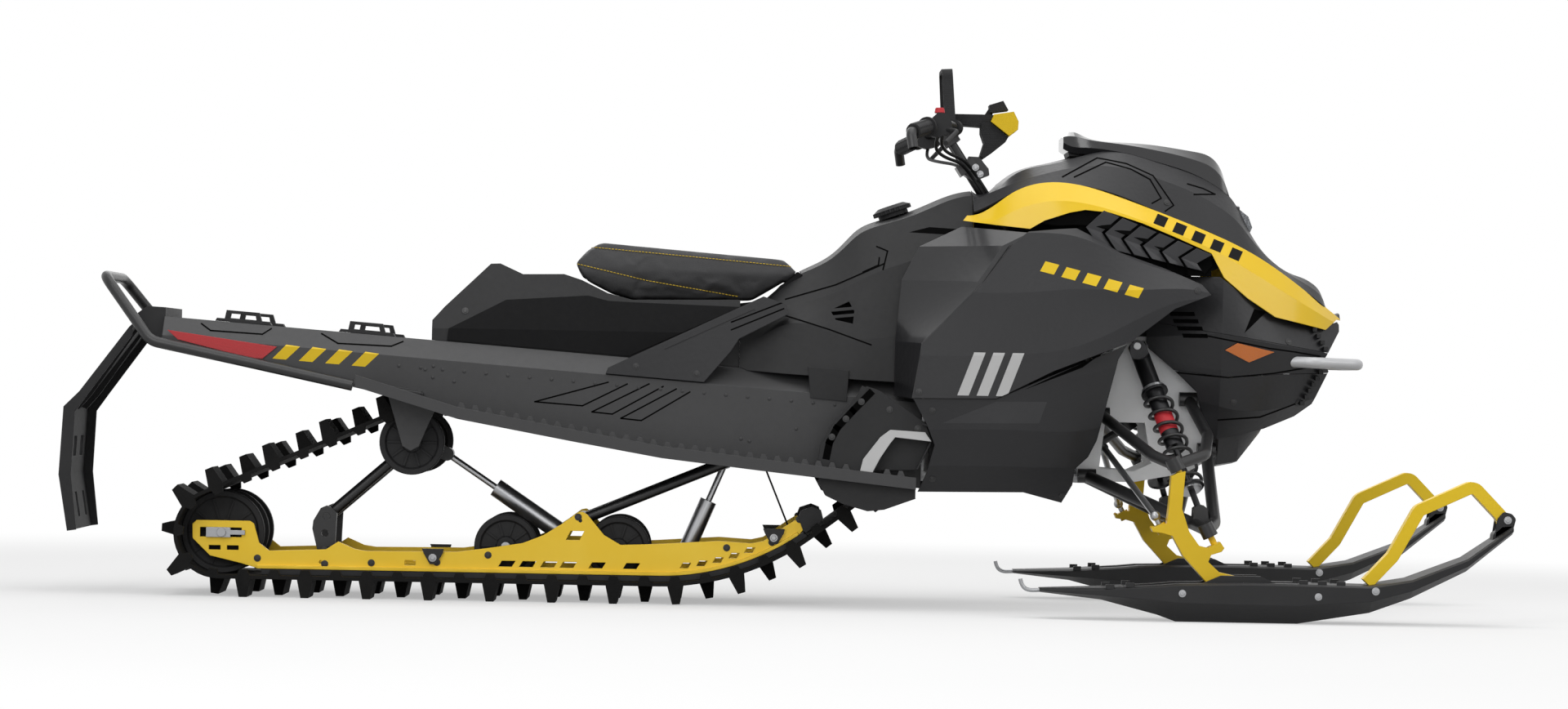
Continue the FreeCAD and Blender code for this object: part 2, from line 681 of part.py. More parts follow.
def footwells():
    """Toe holds beside the tunnel: outer sheet with a rolled rear edge, roof, front wall, and the bowl below."""
    inner, outer = TUNNEL_WIDTH / 2 + GAP, BOARD_EDGE_Y - BOARD_EDGE_WIDTH - 1.5
    wall = 4.0
    def floor(x):
        return (x, board_z(x) + BOARD_SHEET / 2 + GAP)
    sheet = prism([floor(92), (100, 352), (127, 403), (174, 455), (190, 485), (213, 480), (318, 409), (331, 373),
                   (251, 380), (240, 370), floor(196)], outer - wall, outer)
    roll = prism(strip([floor(88), (94, 355), (121, 406), (169, 459), (183, 488)], 14), outer - 18, outer)
    roof = prism(strip([(186, 488), (213, 480), (318, 409)], wall), inner, outer)
    front = prism(strip([(318, 409), (330, 372), (300, 310)], wall), inner, outer - wall)
    recess = prism(strip([(250, 380), (331, 372)], wall), 272, outer)
    inset = prism([(207, 306), (248, 380), (330, 374), (316, 344), (300, 309)], 272, 276)
    bowl_line = [(86, 282), (103, 251), (140, 234), (194, 219), (230, 223), (284, 243), (298, 248)]
    bowl = prism(strip(bowl_line, wall), inner, 288)
    side = prism(bowl_line + [(298, board_z(298) - BOARD_SHEET / 2 - GAP), (86, board_z(86) - BOARD_SHEET / 2 - GAP)],
                 288 - wall, 288)
    shelf = prism(strip([(310, 410), (352, 398)], wall), inner, BOARD_EDGE_Y + 10)
    shelf = shelf.cut(skin(lowered(LOWER, -GAP - 10), SKIN + 2 * GAP + 10))
    shelf = min(shelf.Solids, key=lambda solid: solid.CenterOfMass.y)
    return both(fused(sheet, roll, roof, front, recess, inset, shelf), fused(bowl, side))


def toe_rails():
    """Pale rails from the boards' edges up round the toe holds."""
    y = BOARD_EDGE_Y - BOARD_EDGE_WIDTH
    def foot(x):
        return (x, board_z(x) + BOARD_LIP + GAP)
    rail = prism([foot(TOE_RAIL_FOOT[0]), (182, 331), (219, 380), (240, 396), (316, 392), (330, 372), (251, 380), (240, 366),
                  (219, 334), foot(TOE_RAIL_FOOT[1])], y - 1.2, y + 7)
    return both(rail)


def rear_bumper():
    """One bent tube: up from each tunnel side, round the tail and across."""
    y, r = 152.0, 12.0
    side = TUNNEL_WIDTH / 2 + r + GAP
    left = [(-940, side, 470), (-1180, side, 519), (-1385, side, 560), (-1496, y, 702)]
    path = left + [(px, -py, pz) for px, py, pz in left[::-1]]
    return tube(path, r, 45)


def tail_cap():
    """Moulded cap that closes the tunnel's rear end and carries the flap's hinge."""
    z = tunnel_top(-1361)
    x = TUNNEL_REAR[0] - GAP
    cap = prism([(x, z - 52), (-1396, z - 40), (-1430, z - 18), (-1426, z + 4), (-1402, z + 22), (x, z + 20)],
                -150, 150)
    return cap


def snow_flap():
    """Hanging flap: a bent sheet with side walls, ribs and slots."""
    top = [(-1430.4, 597.5), (-1438, 590)]
    side = top + [(-1545, 446), (-1579, 412), (-1587, 262), (-1566, 138)]
    inner = [(-1560, 139), (-1580, 262), (-1572, 410), (-1539, 450), (-1431.5, 594.5)]
    sheet = prism(side + inner, -175, 175)
    deep = [(-1546, 141), (-1560, 262), (-1554, 400), (-1526, 440), (-1431, 572)]
    wall = prism(side + deep, 169, 175)
    ribs = [prism(side[:4] + [(-1561, 405), (-1533, 437), (-1431, 586)], y, y + 5) for y in (-65, 60)]
    flap = fused(sheet, wall, mirrored(wall), *ribs)
    cuts = [box(-1600, -1540, y - 22, y + 22, 300, 345) for y in (-100, 0, 100)]
    cuts += [box(-1600, -1540, y - 14, y + 14, 165, 220) for y in (-110, 0, 110)]
    return flap.cut(cuts)


def cargo_anchors():
    """Four accessory anchors on the tunnel's top edges: a foot and a slotted loop."""
    shapes = []
    for x in (-1188, -915):
        z = tunnel_top(x) + 4
        slope = (TUNNEL_FRONT[1] - TUNNEL_REAR[1]) / (TUNNEL_FRONT[0] - TUNNEL_REAR[0])
        def at(dx, dz):
            return (x + dx, z + dx * slope + dz)
        y = TUNNEL_TOP_WIDTH / 2
        foot = prism([at(-62, -4 + GAP), at(-58, 3), at(58, 3), at(62, -4 + GAP)], y - 34, y - 2)
        loop = prism([at(-42, 3), at(-38, 22), at(34, 22), at(40, 3)], y - 26, y - 10)
        loop = loop.cut(prism([at(-30, 5), at(-28, 15), at(26, 15), at(28, 5)], y - 60, y))
        shapes += both(fused(foot, loop))
    return shapes


def tail_reflectors():
    """Red lenses on the tunnel's rear flanks."""
    y = TUNNEL_WIDTH / 2 + GAP
    return both(prism([(-1350, 585), (-1108, 552), (-1140, 525), (-1170, 527), (-1326, 564)], y, y + 3))


# Seat and console

def seat_base():
    """Moulded tail box under the seat, narrowing upwards."""
    outline = [(-772, 560), (-772, 618), (-745, 649), (-647, 746), (-626, 747), (-575, 724), (-484, 726), (-444, 713.3),
               (-386, 685.3), (-331, 671.5), (-92, 676), (-92, 520), (-760, 560)]
    form = prism(outline, -170, 170)
    flank = Part.makeLoft([section(x, [(-162, 500), (-158, 600), (-104, 760), (104, 760), (158, 600), (162, 500)])
                           for x in (-800, 20)], True, True)
    return form.common(flank).cut(tunnel_form(GAP, 400, -1400))


def seat_side_panels():
    """Dark flank panels of the tail box."""
    outline = [(-738, 574), (-735, 600), (-610, 666), (-429, 679), (-384, 668), (-336, 666), (-90, 660), (-336, 546)]
    panel = ribbon([(-800, 162.4, 500), (-800, 158.4, 600), (-800, 124.8, 700)],
                   [(20, 162.4, 500), (20, 158.4, 600), (20, 124.8, 700)], (0, 4, 0.6))
    return both(trimmed(panel, outline).cut(tunnel_form(GAP, 400, -1400)))


def seat_cushion():
    """Seat cushion."""
    outline = [(-468, 754), (-418, 793), (12, 761), (42, 742), (-62, 677), (-330, 672), (-385, 686), (-440, 714)]
    form = prism(outline, -135, 135)
    flank = Part.makeLoft([section(x, [(-a, 660), (-a - 22, 735), (-a + 14, 800), (a - 14, 800), (a + 22, 735), (a, 660)])
                           for x, a in ((-480, 112), (-200, 104), (60, 88))], True, True)
    return form.common(flank)


def frame_braces():
    """Diagonal braces from the tunnel's flank up to the console."""
    y = TUNNEL_WIDTH / 2 + GAP
    brace = prism(BRACE, 168, y + 7).cut(tunnel_form(GAP, 400, -1400))
    groove = prism(strip([(-256, 560), (-60, 652)], 5), y + 5.5, y + 10)
    return both(brace.cut(groove))


CONSOLE = [
    (-91.7, [(0, 664), (100, 660), (140, 640), (160, 592), (167, 520)]),
    (-20, [(0, 693), (92, 687), (146, 652), (174, 610), (190, 516)]),
    (46, [(0, 748), (88, 739), (146, 672), (184, 626), (202, 512)]),
    (114, [(0, 787), (92, 776), (154, 694), (190, 606), (205, 508)]),
    (165, [(0, 838), (100, 824), (162, 720), (194, 592), (206, 504)]),
    (230, [(0, 866), (103, 852), (166, 750), (195.5, 598), (206, 501)]),
    (295, [(0, 888), (105, 874), (169, 773), (196, 612), (206, 497.5)]),
    (358, [(0, 916), (106, 902), (170.5, 805), (195, 643), (206, 493.5)]),
    (419.7, [(0, 932), (108, 918), (172, 830), (195, 660), (206, 490)]),
]
CONSOLE_GRILLE = [(107, 656), (148, 676), (160, 655), (157, 627), (119, 635)]
BRACE = [(-385, 507), (-380, 520), (-335, 542), (-41, 683), (10, 666), (14, 645), (-93, 589), (-111, 561), (-169, 492)]


def console():
    """Tank console between the seat and the steering column, with a flange down each side of the tunnel."""
    flange = prism([(60, 530), (150, 524), (146, 455), (66, 462)], 196, TUNNEL_WIDTH / 2 + GAP + 4)
    form = tunnel_form(GAP, 500, -1400)
    cushion = seat_cushion()
    lowered_cushion = seat_cushion()
    lowered_cushion.translate(vec(1, 0, -1.5))
    brace_room = both(prism(BRACE, 168 - GAP, 260))
    bars = [strip([(100, z), (165, z + 7)], 7) for z in (640, 655)]
    grille = prism(CONSOLE_GRILLE, 120, 260).cut([prism(bar_line, 120, 260) for bar_line in bars])
    shell = deck(CONSOLE, SKIN).cut([form, cushion, lowered_cushion] + brace_room + both(grille))
    return fused(shell, *both(flange.cut(form)))


def fuel_cap():
    """Screw cap on the console: a knurled collar under a domed top."""
    foot = Vector(250, 0, 870)
    up = vec(-0.33, 0, 0.944)
    collar = Part.makeCylinder(34, 12, foot + up * 1.5, up)
    rim = Part.makeCylinder(44, 9, foot + up * 11, up)
    dome = Part.makeCone(44, 30, 8, foot + up * 19, up)
    grips = [Part.makeCylinder(4, 12, foot + up * 9 + vec(0.944 * math.cos(a), math.sin(a), 0.33 * math.cos(a)) * 45, up)
             for a in (k * math.pi / 12 for k in range(24))]
    return fused(collar, rim.cut(grips), dome).cut(deck(CONSOLE, SKIN))


# Bodywork

HOOD = [
    (420, [(0, 936), (95, 926), (140, 905), (177, 880)]),
    (503, [(0, 968), (100, 960), (150, 943), (188, 922)]),
    (587, [(0, 997), (105, 990), (158, 970), (196, 943)]),
    (660, [(0, 1017), (105, 1010), (160, 985), (200, 940)]),
    (735, [(0, 1030), (100, 1025), (161, 985), (201, 922)]),
    (825, [(0, 1012), (97, 1006), (158, 962), (196, 887)]),
    (912, [(0, 986), (90, 980), (150, 930), (186, 855)]),
    (965, [(0, 958), (84, 953), (140, 902), (178, 834)]),
    (1006, [(0, 920), (80, 914), (132, 872), (168, 814)]),
    (1040, [(0, 856), (80, 852), (126, 832), (158, 797)]),
    (1133, [(0, 764), (72, 760), (105, 754), (130, 741)]),
    (1210, [(0, 708), (48, 706), (72, 700), (90, 687)]),
    (1250, [(0, 674), (26, 673), (42, 670), (54, 660)]),
]

ACCENT = [
    (396, [(172, 872), (196, 850), (214, 815)]),
    (503, [(189, 922), (215, 880), (232, 828)]),
    (610, [(198, 947), (228, 905), (246, 852)]),
    (716, [(201, 925), (233, 888), (252, 846)]),
    (825, [(196, 887), (230, 852), (250, 806)]),
    (942, [(183, 843), (220, 806), (240, 742)]),
    (1043, [(163, 797), (198, 752), (216, 676)]),
    (1133, [(133, 741), (165, 702), (181, 632)]),
    (1210, [(89, 687), (112, 662), (122, 612)]),
    (1250, [(53, 660), (66, 648), (78, 612)]),
]

ACCENT_OUTLINE = [
    (396, 859), (423, 895), (503, 930), (610, 960), (700, 960), (1260, 700), (1262, 655), (1240, 658), (1210, 634),
    (1088, 659), (1024, 699), (970, 743), (942, 796), (861, 830), (788, 859), (716, 881), (662, 886), (627, 879),
    (573, 861), (541, 842), (466, 850),
]


def hood():
    """Upper deck, open round the column."""
    shell = deck(HOOD, SKIN)
    x, z = COLUMN_TOP
    a = math.radians(COLUMN_ANGLE)
    axis = vec(math.sin(a), 0, -math.cos(a))
    opening = Part.makeCylinder(34, 400, vec(x, 0, z) - axis * 200, axis)
    return shell.cut(opening)


def accent_panels():
    """Bright side bands of the hood."""
    band = trimmed(skin(ACCENT, SKIN), ACCENT_OUTLINE)
    return both(band.cut(hood_mass(SEAM)))


def lowered(stations, drop):
    """The same stations, each point moved into the body by drop."""
    return [(x, inward(line, drop)) for x, line in stations]


# Louvres: the lines that the blades' feet, knees and tops follow, and the outer face's place across at each
LOUVRE_LINES = [((644, 790), (946, 700), 245), ((640, 838), (942, 757), 243), ((690, 893), (985, 775), 234)]
LOUVRE_EDGES = (0.0, 0.22, 0.37, 0.52, 0.67, 0.82, 1.0)   # each blade's rear edge, as a share of the line
LOUVRE_STEP = 11.0    # how far a blade's front edge lies behind the next blade's rear edge
LOUVRE_BACK_Y = 214.0


def louvre_section(line):
    """The saw-toothed section of the blades in the sloping plane of one line."""
    (x0, z0), (x1, z1), y = line
    spans = list(zip(LOUVRE_EDGES, LOUVRE_EDGES[1:]))
    teeth = [(k, depth) for a, b in spans for k, depth in ((a, y), (b, y - LOUVRE_STEP))]
    corners = [vec(x0 + (x1 - x0) * k, depth, z0 + (z1 - z0) * k)
               for k, depth in teeth + [(1.0, LOUVRE_BACK_Y), (0.0, LOUVRE_BACK_Y)]]
    return Part.makePolygon(corners + corners[:1])


def vent_panels():
    """Louvred panels below the bright bands: a backing that follows the band, with slanting blades below it."""
    outline = [(541, 858), (573, 872), (627, 890), (662, 897), (716, 892), (788, 870), (861, 841), (936, 808),
               (945, 770), (925, 748), (900, 746), (835, 768), (737, 800), (680, 838), (640, 852), (600, 850)]
    wall = 4.0
    back = trimmed(skin(lowered(ACCENT, SKIN + GAP), wall), outline)
    sections = [louvre_section(line) for line in LOUVRE_LINES]
    halves = [Part.makeLoft(list(pair), True, True) for pair in zip(sections, sections[1:])]
    room = skin(lowered(ACCENT, -40), 40 + SKIN + GAP + wall + GAP)
    nose_top = NOSE_SIDE[0][1] + SEAM
    below = [(600, 700), (NOSE_SIDE[0][0] - SEAM, 700), (NOSE_SIDE[0][0] - SEAM, nose_top), (960, nose_top), (960, 812),
             (700, 905), (600, 905)]
    return both(back, trimmed(fused(*halves).cut(room), below))


SIDE = [
    (280, [(238, 860), (262, 830), (312, 700), (328, 560), (328, 455)]),
    (400, [(242, 860), (268, 830), (320, 700), (336, 560), (334, 455)]),
    (520, [(245, 858), (270, 832), (322, 700), (339, 565), (335, 455)]),
    (640, [(246, 850), (272, 826), (322, 710), (339, 585), (335, 480)]),
    (760, [(250, 800), (276, 780), (318, 710), (333, 640), (331, 570)]),
    (880, [(258, 756), (280, 742), (304, 715), (311, 690), (310, 655)]),
    (950, [(262, 726), (280, 712), (290, 700), (292, 688), (290, 670)]),
]

SIDE_OUTLINE = [
    (536, 835), (603, 842), (642, 845), (674, 829), (737, 793), (835, 760), (916, 726), (936, 703), (855, 671),
    (759, 597), (591, 530), (495, 481), (468, 468), (287, 466), (306, 586), (437, 722), (497, 803),
]


def side_panels():
    """Main side panels, from the knee edge forward to the wing tip."""
    return both(trimmed(skin(SIDE, SKIN), SIDE_OUTLINE))


def knee_panels():
    """Panels that turn in from the side panels' rear edge to the console."""
    edge = [(287, 327, 466), (306, 325, 586), (437, 313, 722), (497, 283, 803), (534, 262, 833)]
    inner = [(250, 214, 470), (250, 214, 590), (262, 203, 725), (300, 191, 800), (394, 184, 846)]
    edge = [(x - SEAM, y - SEAM, z) for x, y, z in edge]
    side = skin(lowered(SIDE, -SEAM), SKIN + 2 * SEAM)
    return both(ribbon(edge, inner, (5, -3, -2)).cut(side))


LOWER = [
    (280, [(324, 610), (324, 470), (316, 400), (296, 320), (254, 262), (236, 236)]),
    (400, [(329, 610), (329, 470), (321, 400), (300, 320), (258, 262), (238, 236)]),
    (540, [(329, 610), (329, 500), (320, 400), (298, 320), (256, 262), (236, 236)]),
    (640, [(316, 612), (314, 520), (300, 400), (276, 320), (240, 262), (222, 236)]),
    (770, [(262, 612), (258, 560), (240, 450), (215, 350), (196, 285), (186, 240)]),
]

LOWER_OUTLINE = [
    (288, 465.4), (469, 467.4), (592, 522), (756, 591), (737, 559), (693, 380), (675, 344), (646, 317), (643, 282),
    (621, 242), (535, 264), (304, 261), (321, 302), (337, 365), (319, 409),
]


def lower_panels():
    """Lower side panels, tucked under towards the belly."""
    return both(trimmed(skin(LOWER, SKIN), LOWER_OUTLINE))


NOSE_REAR = [
    (808, [(160, 745), (162, 610), (152, 560), (142, 500), (136, 460)]),
    (968, [(234, 745), (238, 620), (217, 540), (190, 460), (152, 380)]),
]
NOSE_FRONT = [
    (968, [(234, 745), (238, 620), (217, 540), (190, 460), (152, 380)]),
    (1087, [(178, 668), (203, 600), (188, 540), (164, 455), (112, 400)]),
    (1184, [(120, 642), (146, 587), (136, 545), (112, 480), (84, 452)]),
    (1245, [(72, 655), (98, 580), (94, 545), (82, 500), (62, 470)]),
]
NOSE_SIDE = [(808, 745), (960, 745), (1024, 698.8), (1088, 658.8), (1210, 633.8), (1238, 656), (1250, 640), (1206, 566),
             (1219, 542), (1184, 469), (1145, 441), (1074, 412), (948, 383), (919, 491), (873, 535), (808, 590)]
BELT_LINE = [(780, 652), (943, 623), (980, 618), (1179, 588), (1270, 575)]
LAMP_LINE = [(780, 560), (873, 537), (990, 524), (1115, 534), (1270, 540)]


def nose_form():
    """The nose's skin before it is parted, on the left side."""
    form = trimmed(fused(skin(NOSE_REAR, SKIN, True), skin(NOSE_FRONT, SKIN)), NOSE_SIDE)
    shock_way = rod(along_shock(0), along_shock(0.66), SHOCK_R + GAP * 10)
    return form.cut([bumper_bar(BUMPER_R + GAP), shock_way])


def banded(shape, upper, lower, seam):
    """What lies between two side-view lines, less half a seam at each."""
    top = [(x, z - seam / 2) for x, z in upper] if upper else [(700, 900), (1400, 900)]
    low = [(x, z + seam / 2) for x, z in lower] if lower else [(700, 300), (1400, 300)]
    return trimmed(shape, top + low[::-1])


def nose_upper():
    """Upper nose cheeks below the bright bands."""
    return both(banded(nose_form(), None, BELT_LINE, SEAM))


def nose_lower():
    """Marker-lamp band and lower nose."""
    form = nose_form()
    return both(banded(form, BELT_LINE, LAMP_LINE, SEAM), banded(form, LAMP_LINE, None, SEAM))


def chin():
    """Skid plate below the nose, up to its lower edges."""
    return hull_loft([
        (972, [(0, 388.2), (153, 388.2), (118, 330), (0, 322)]),
        (1020, [(0, 399.3), (138, 399.3), (96, 338), (0, 332)]),
        (1070, [(0, 410.8), (122, 410.8), (84, 402), (0, 400)]),
    ], True)


def nose_inner(clearance):
    """What lies inside the nose's skin, for fitting the grille."""
    rings = []
    for x, line in NOSE_FRONT:
        half = inward(line, SKIN + clearance)
        rings.append(section(x, half + [(-y, z) for y, z in half[::-1]]))
    return Part.makeLoft(rings, True, False)


def nose_grille():
    """Ribbed front face above and below the recess that the bumper crosses."""
    def ribs(top, low, count):
        points = []
        for i in range(count):
            for k, depth in ((i / count, 0.0), ((i + 0.75) / count, 9.0)):
                points.append((top[0] + (low[0] - top[0]) * k + depth - 6, top[1] + (low[1] - top[1]) * k))
        return points
    front = ribs((1244, 652), (1206, 582), 7) + [(1188, 580), (1184, 542)] + ribs((1212, 540), (1182, 476), 7)
    back = [(1160, 474), (1160, 560), (1216, 652)]
    return prism(front + back, -120, 120).common(nose_inner(GAP))


BUMPER_R = 12.5


def bumper_bar(radius):
    """The front bumper's round bar, out of the nose's flanks."""
    beside = BULKHEAD_HALF + BUMPER_R + GAP
    left = [(931, beside, 478), (975, beside, 496), (1105, 150, 562), (1180, 184, 560), (1283, 128, 558)]
    return tube(left + [(x, -y, z) for x, y, z in left[::-1]], radius, 34)


def front_bumper():
    """Front bumper."""
    return bumper_bar(BUMPER_R)


def marker_lenses():
    """Amber lenses on the marker-lamp band."""
    outline = [(975, 584), (1002, 600), (1087, 582), (1030, 558)]
    outer = [(x, [(y + LENS + GAP, z) for y, z in line]) for x, line in NOSE_FRONT]
    lens = trimmed(skin(outer, LENS), outline)
    return both(lens)


VISOR = [
    (622, 1057, 74, 1042), (668, 1060, 98, 1030), (742, 1048, 106, 1022), (825, 1043, 104, 1002),
    (912, 1031, 97, 976), (950, 1021, 92, 957), (985, 970, 87, 928), (1018, 912, 84, 888),
]


def hood_mass(clearance):
    """What lies under the hood's outer face, for parting the pod that sits on it."""
    rings = []
    for x, line in HOOD:
        half = [(y, z + clearance) for y, z in line] + [(line[-1][0], 560), (0, 560)]
        rings.append(section(x, half + [(-y, z) for y, z in half[-2:0:-1]]))
    return Part.makeLoft(rings, True, False)


def visor():
    """Instrument pod and low windscreen, a closed cap seated on the hood."""
    stations = []
    for x, top, half, low in VISOR:
        stations.append((x, [(0, top), (half * 0.62, top - 3), (half * 0.94, (top + low) / 2 + 5), (half, low),
                             (half * 0.9, low - 14), (0, low - 14)]))
    return hull_loft(stations).cut(hood_mass(GAP))


def visor_mass(clearance):
    """The pod's outside, grown downwards, for fitting the display under it."""
    stations = []
    for x, top, half, low in VISOR:
        stations.append((x, [(0, top), (half * 0.62, top - 3), (half * 0.94, (top + low) / 2 + 5), (half, low),
                             (half * 0.9, low - 14 - clearance), (0, low - 14 - clearance)]))
    return hull_loft(stations)


def gauge():
    """Display that faces the rider, tucked under the pod's lip."""
    pod = prism([(636, 1012), (628, 1038), (640, 1044), (700, 1040), (700, 1010)], -66, 66)
    return pod.cut([hood_mass(GAP), visor_mass(GAP)])


def headlamp():
    """Twin lamps that look forward under the pod's front edge."""
    lens = prism([(1006, 902), (1016, 901), (1038, 884), (1047, 860), (1041, 846), (1024, 850)], 10, 78)
    return both(lens.cut([hood_mass(GAP), visor_mass(GAP)]))


# Front frame and suspension

def bulkhead():
    """Cast front frame: two ribbed side walls tied by cross walls, with the engine's cradle behind."""
    outline = [(668, 288), (660, 330), (700, 470), (722, 560), (760, 612), (812, 612), (905, 516), (945, 478),
               (962, 400), (962, 344), (905, 310), (790, 288)]
    wall = prism(outline, BULKHEAD_HALF - BULKHEAD_WALL, BULKHEAD_HALF)
    hole = [(712, 318), (724, 420), (812, 420), (828, 330), (790, 312)]
    wall = wall.cut(prism(hole, 0, 200))
    half = BULKHEAD_HALF
    walls = [box(936, 944, -half, half, 350, 470), box(676, 684, -half, half, 292, 350),
             box(790, 812, -half, half, 592, 610)]
    pin = lateral(SHOCK_TOP[0], SHOCK_TOP[2], PIN_R, half - 2, SHOCK_TOP[1] + EYE_HALF)
    front = TUNNEL_FRONT[0] + GAP
    cradle = [box(front, 684, y - 14, y + 14, 284, 300 - GAP) for y in (-90, 90)]
    cradle.append(trimmed(tunnel_form(-1, front + 6, front), [(300, 284), (330, 284), (330, 480), (300, 480)]))
    plate = Part.makeCylinder(26, 16, column_foot() + column_dir() * 40, column_dir())
    foot = column_foot() + column_dir() * 48
    bridge = rod((foot.x, -half, foot.z), (foot.x, half, foot.z), 9)
    bore = Part.makeCylinder(COLUMN_R + GAP, 120, foot - column_dir() * 60, column_dir())
    return fused(wall, mirrored(wall), *walls, *both(pin), *cradle, plate, bridge).cut(bore)


UPPER_MOUNTS = ((712.0, 437.0), (906.0, 474.0))
LOWER_MOUNTS = ((684.0, 300.0), (948.0, 362.0))
ARM_MOUNT_Y = BULKHEAD_HALF + 16.0


def kingpin(t):
    """A point on the left kingpin line: 0 at the upper ball, 1 at the lower lug."""
    (x0, z0), (x1, z1) = KINGPIN_TOP, KINGPIN_FOOT
    return vec(x0 + (x1 - x0) * t, SKI_STANCE / 2, z0 + (z1 - z0) * t)


def kingpin_dir():
    """Unit vector up the kingpin."""
    return (kingpin(0) - kingpin(1)).normalize()


BALL_R = 17.0
BALL_HEIGHT = 30.0
STUD_R = 7.0


def ball_housing(t):
    """Ball-joint housing on the kingpin, with the bore for its stud."""
    up = kingpin_dir()
    centre = kingpin(t)
    body = Part.makeCylinder(BALL_R, BALL_HEIGHT, centre - up * (BALL_HEIGHT / 2), up)
    return body, Part.makeCylinder(STUD_R + GAP, BALL_HEIGHT, centre - up * (BALL_HEIGHT / 2 + 6), up)


def arm_eye(x, z):
    """Pivot eye of an arm beside the bulkhead."""
    return rod((x - 20, ARM_MOUNT_Y, z), (x + 20, ARM_MOUNT_Y, z), 16 - GAP)


UPPER_BALL_T = 0.0
LOWER_BALL_T = 0.80


def upper_arms():
    """Upper arms: one bent tube each, round the shock."""
    body, bore = ball_housing(UPPER_BALL_T)
    c = kingpin(UPPER_BALL_T)
    (xr, zr), (xf, zf) = UPPER_MOUNTS
    rear = tube([(c.x - 4, c.y - 6, c.z), (805, 395, 352), (xr, ARM_MOUNT_Y, zr)], ARM_TUBE_R, 60)
    front = tube([(c.x + 4, c.y - 6, c.z), (918, 400, 356), (936, 270, 396), (xf, ARM_MOUNT_Y, zf)], ARM_TUBE_R, 40)
    arm = fused(body, rear, front, arm_eye(xr, zr), arm_eye(xf, zf)).cut(bore)
    return both(arm)


def lower_arms():
    """Lower arms: two tubes each, with the shock's seat between them."""
    body, bore = ball_housing(LOWER_BALL_T)
    c = kingpin(LOWER_BALL_T)
    (xr, zr), (xf, zf) = LOWER_MOUNTS
    rear = tube([(c.x, c.y - 4, c.z), (c.x - 20, 395, c.z + 10), (xr, ARM_MOUNT_Y, zr)], ARM_TUBE_R + 1, 60)
    front = tube([(c.x, c.y - 4, c.z), (c.x + 22, 400, c.z + 14), (xf, ARM_MOUNT_Y, zf)], ARM_TUBE_R + 1, 60)
    x, y, z = SHOCK_LOW
    cheek = prism([(x - 17, z - 34), (x - 15, z + 8), (x - 6, z + 15), (x + 6, z + 15), (x + 15, z + 8), (x + 20, z - 30)],
                  y + EYE_HALF + GAP, y + EYE_HALF + 5)
    other = cheek.copy()
    inboard = EYE_HALF + 13
    other.translate(vec(0, -inboard - EYE_HALF - GAP, 0))
    floor = box(x - 18, x + 20, y - inboard, y + EYE_HALF + 5, z - 36, z - 26)
    pin = lateral(x, z, PIN_R, y - inboard, y + EYE_HALF + 5)
    arm = fused(body, rear, front, arm_eye(xr, zr), arm_eye(xf, zf), cheek, other, floor, pin).cut(bore)
    return both(arm)


SHOCK_TOP = (788.0, 150.0, 590.0)
SHOCK_LOW = (910.0, 385.0, 232.0)
SHOCK_R = 20.0
EYE_HALF = 12.0


def along_shock(t):
    """A point on the left shock's axis."""
    a, b = Vector(*SHOCK_TOP), Vector(*SHOCK_LOW)
    return a + (b - a) * t


def ski_shocks():
    """Front shocks: body, shaft, spring seats and end eyes."""
    axis = along_shock(1) - along_shock(0)
    body = rod(along_shock(0), along_shock(0.62), SHOCK_R)
    shaft = rod(along_shock(0.60), along_shock(1), 7)
    eyes = [lateral(x, z, 13, y - EYE_HALF, y + EYE_HALF) for x, y, z in (SHOCK_TOP, SHOCK_LOW)]
    seats = [Part.makeCylinder(30, 6, along_shock(t), axis) for t in (0.28, 0.85)]
    bores = [lateral(x, z, PIN_R + GAP, y - 60, y + 60) for x, y, z in (SHOCK_TOP, SHOCK_LOW)]
    shadow = [lateral(x, z, 30, *sides) for x, z, sides in
              ((SHOCK_TOP[0], SHOCK_TOP[2], (SHOCK_TOP[1] + EYE_HALF, SHOCK_TOP[1] + 60)),
               (SHOCK_TOP[0], SHOCK_TOP[2], (SHOCK_TOP[1] - 60, SHOCK_TOP[1] - EYE_HALF)))]
    return both(fused(body, shaft, *eyes, *seats).cut(bores + shadow))


def ski_springs():
    """Coil springs on the front shocks."""
    a, b = along_shock(0.30), along_shock(0.848)
    axis = b - a
    wire, radius, turns = 4.0, 29.0, 7
    pitch = (axis.Length - 2 * wire) / turns
    helix = Part.makeHelix(pitch, pitch * turns, radius)
    ring = Part.Wire([Part.makeCircle(wire, vec(radius, 0, 0), vec(0, radius, pitch / (2 * math.pi)))])
    coil = Part.Wire(helix).makePipeShell([ring], True, True)
    coil.rotate(vec(0, 0, 0), vec(0, 0, 1).cross(axis), math.degrees(vec(0, 0, 1).getAngle(axis)))
    coil.translate(a + axis.normalize() * wire)
    return both(coil)


def engine_block():
    """Engine mass behind the column."""
    return box(330, 548, -185, 185, 300, 600)


# Knuckles and skis

STUD_DROP = 20.0
KNUCKLE = [
    (838, 314), (868, 321), (866, 296), (862, 240), (878, 192), (900, 162), (918, 158), (945, 171), (954, 158),
    (948, 150), (926, 143), (920, 128), (944, 106), (990, 96), (1012, 84), (1012, 66), (990, 54), (960, 62),
    (917, 84), (866, 139), (842, 182), (820, 188), (800, 190), (796, 200), (804, 207), (830, 208), (834, 250),
]


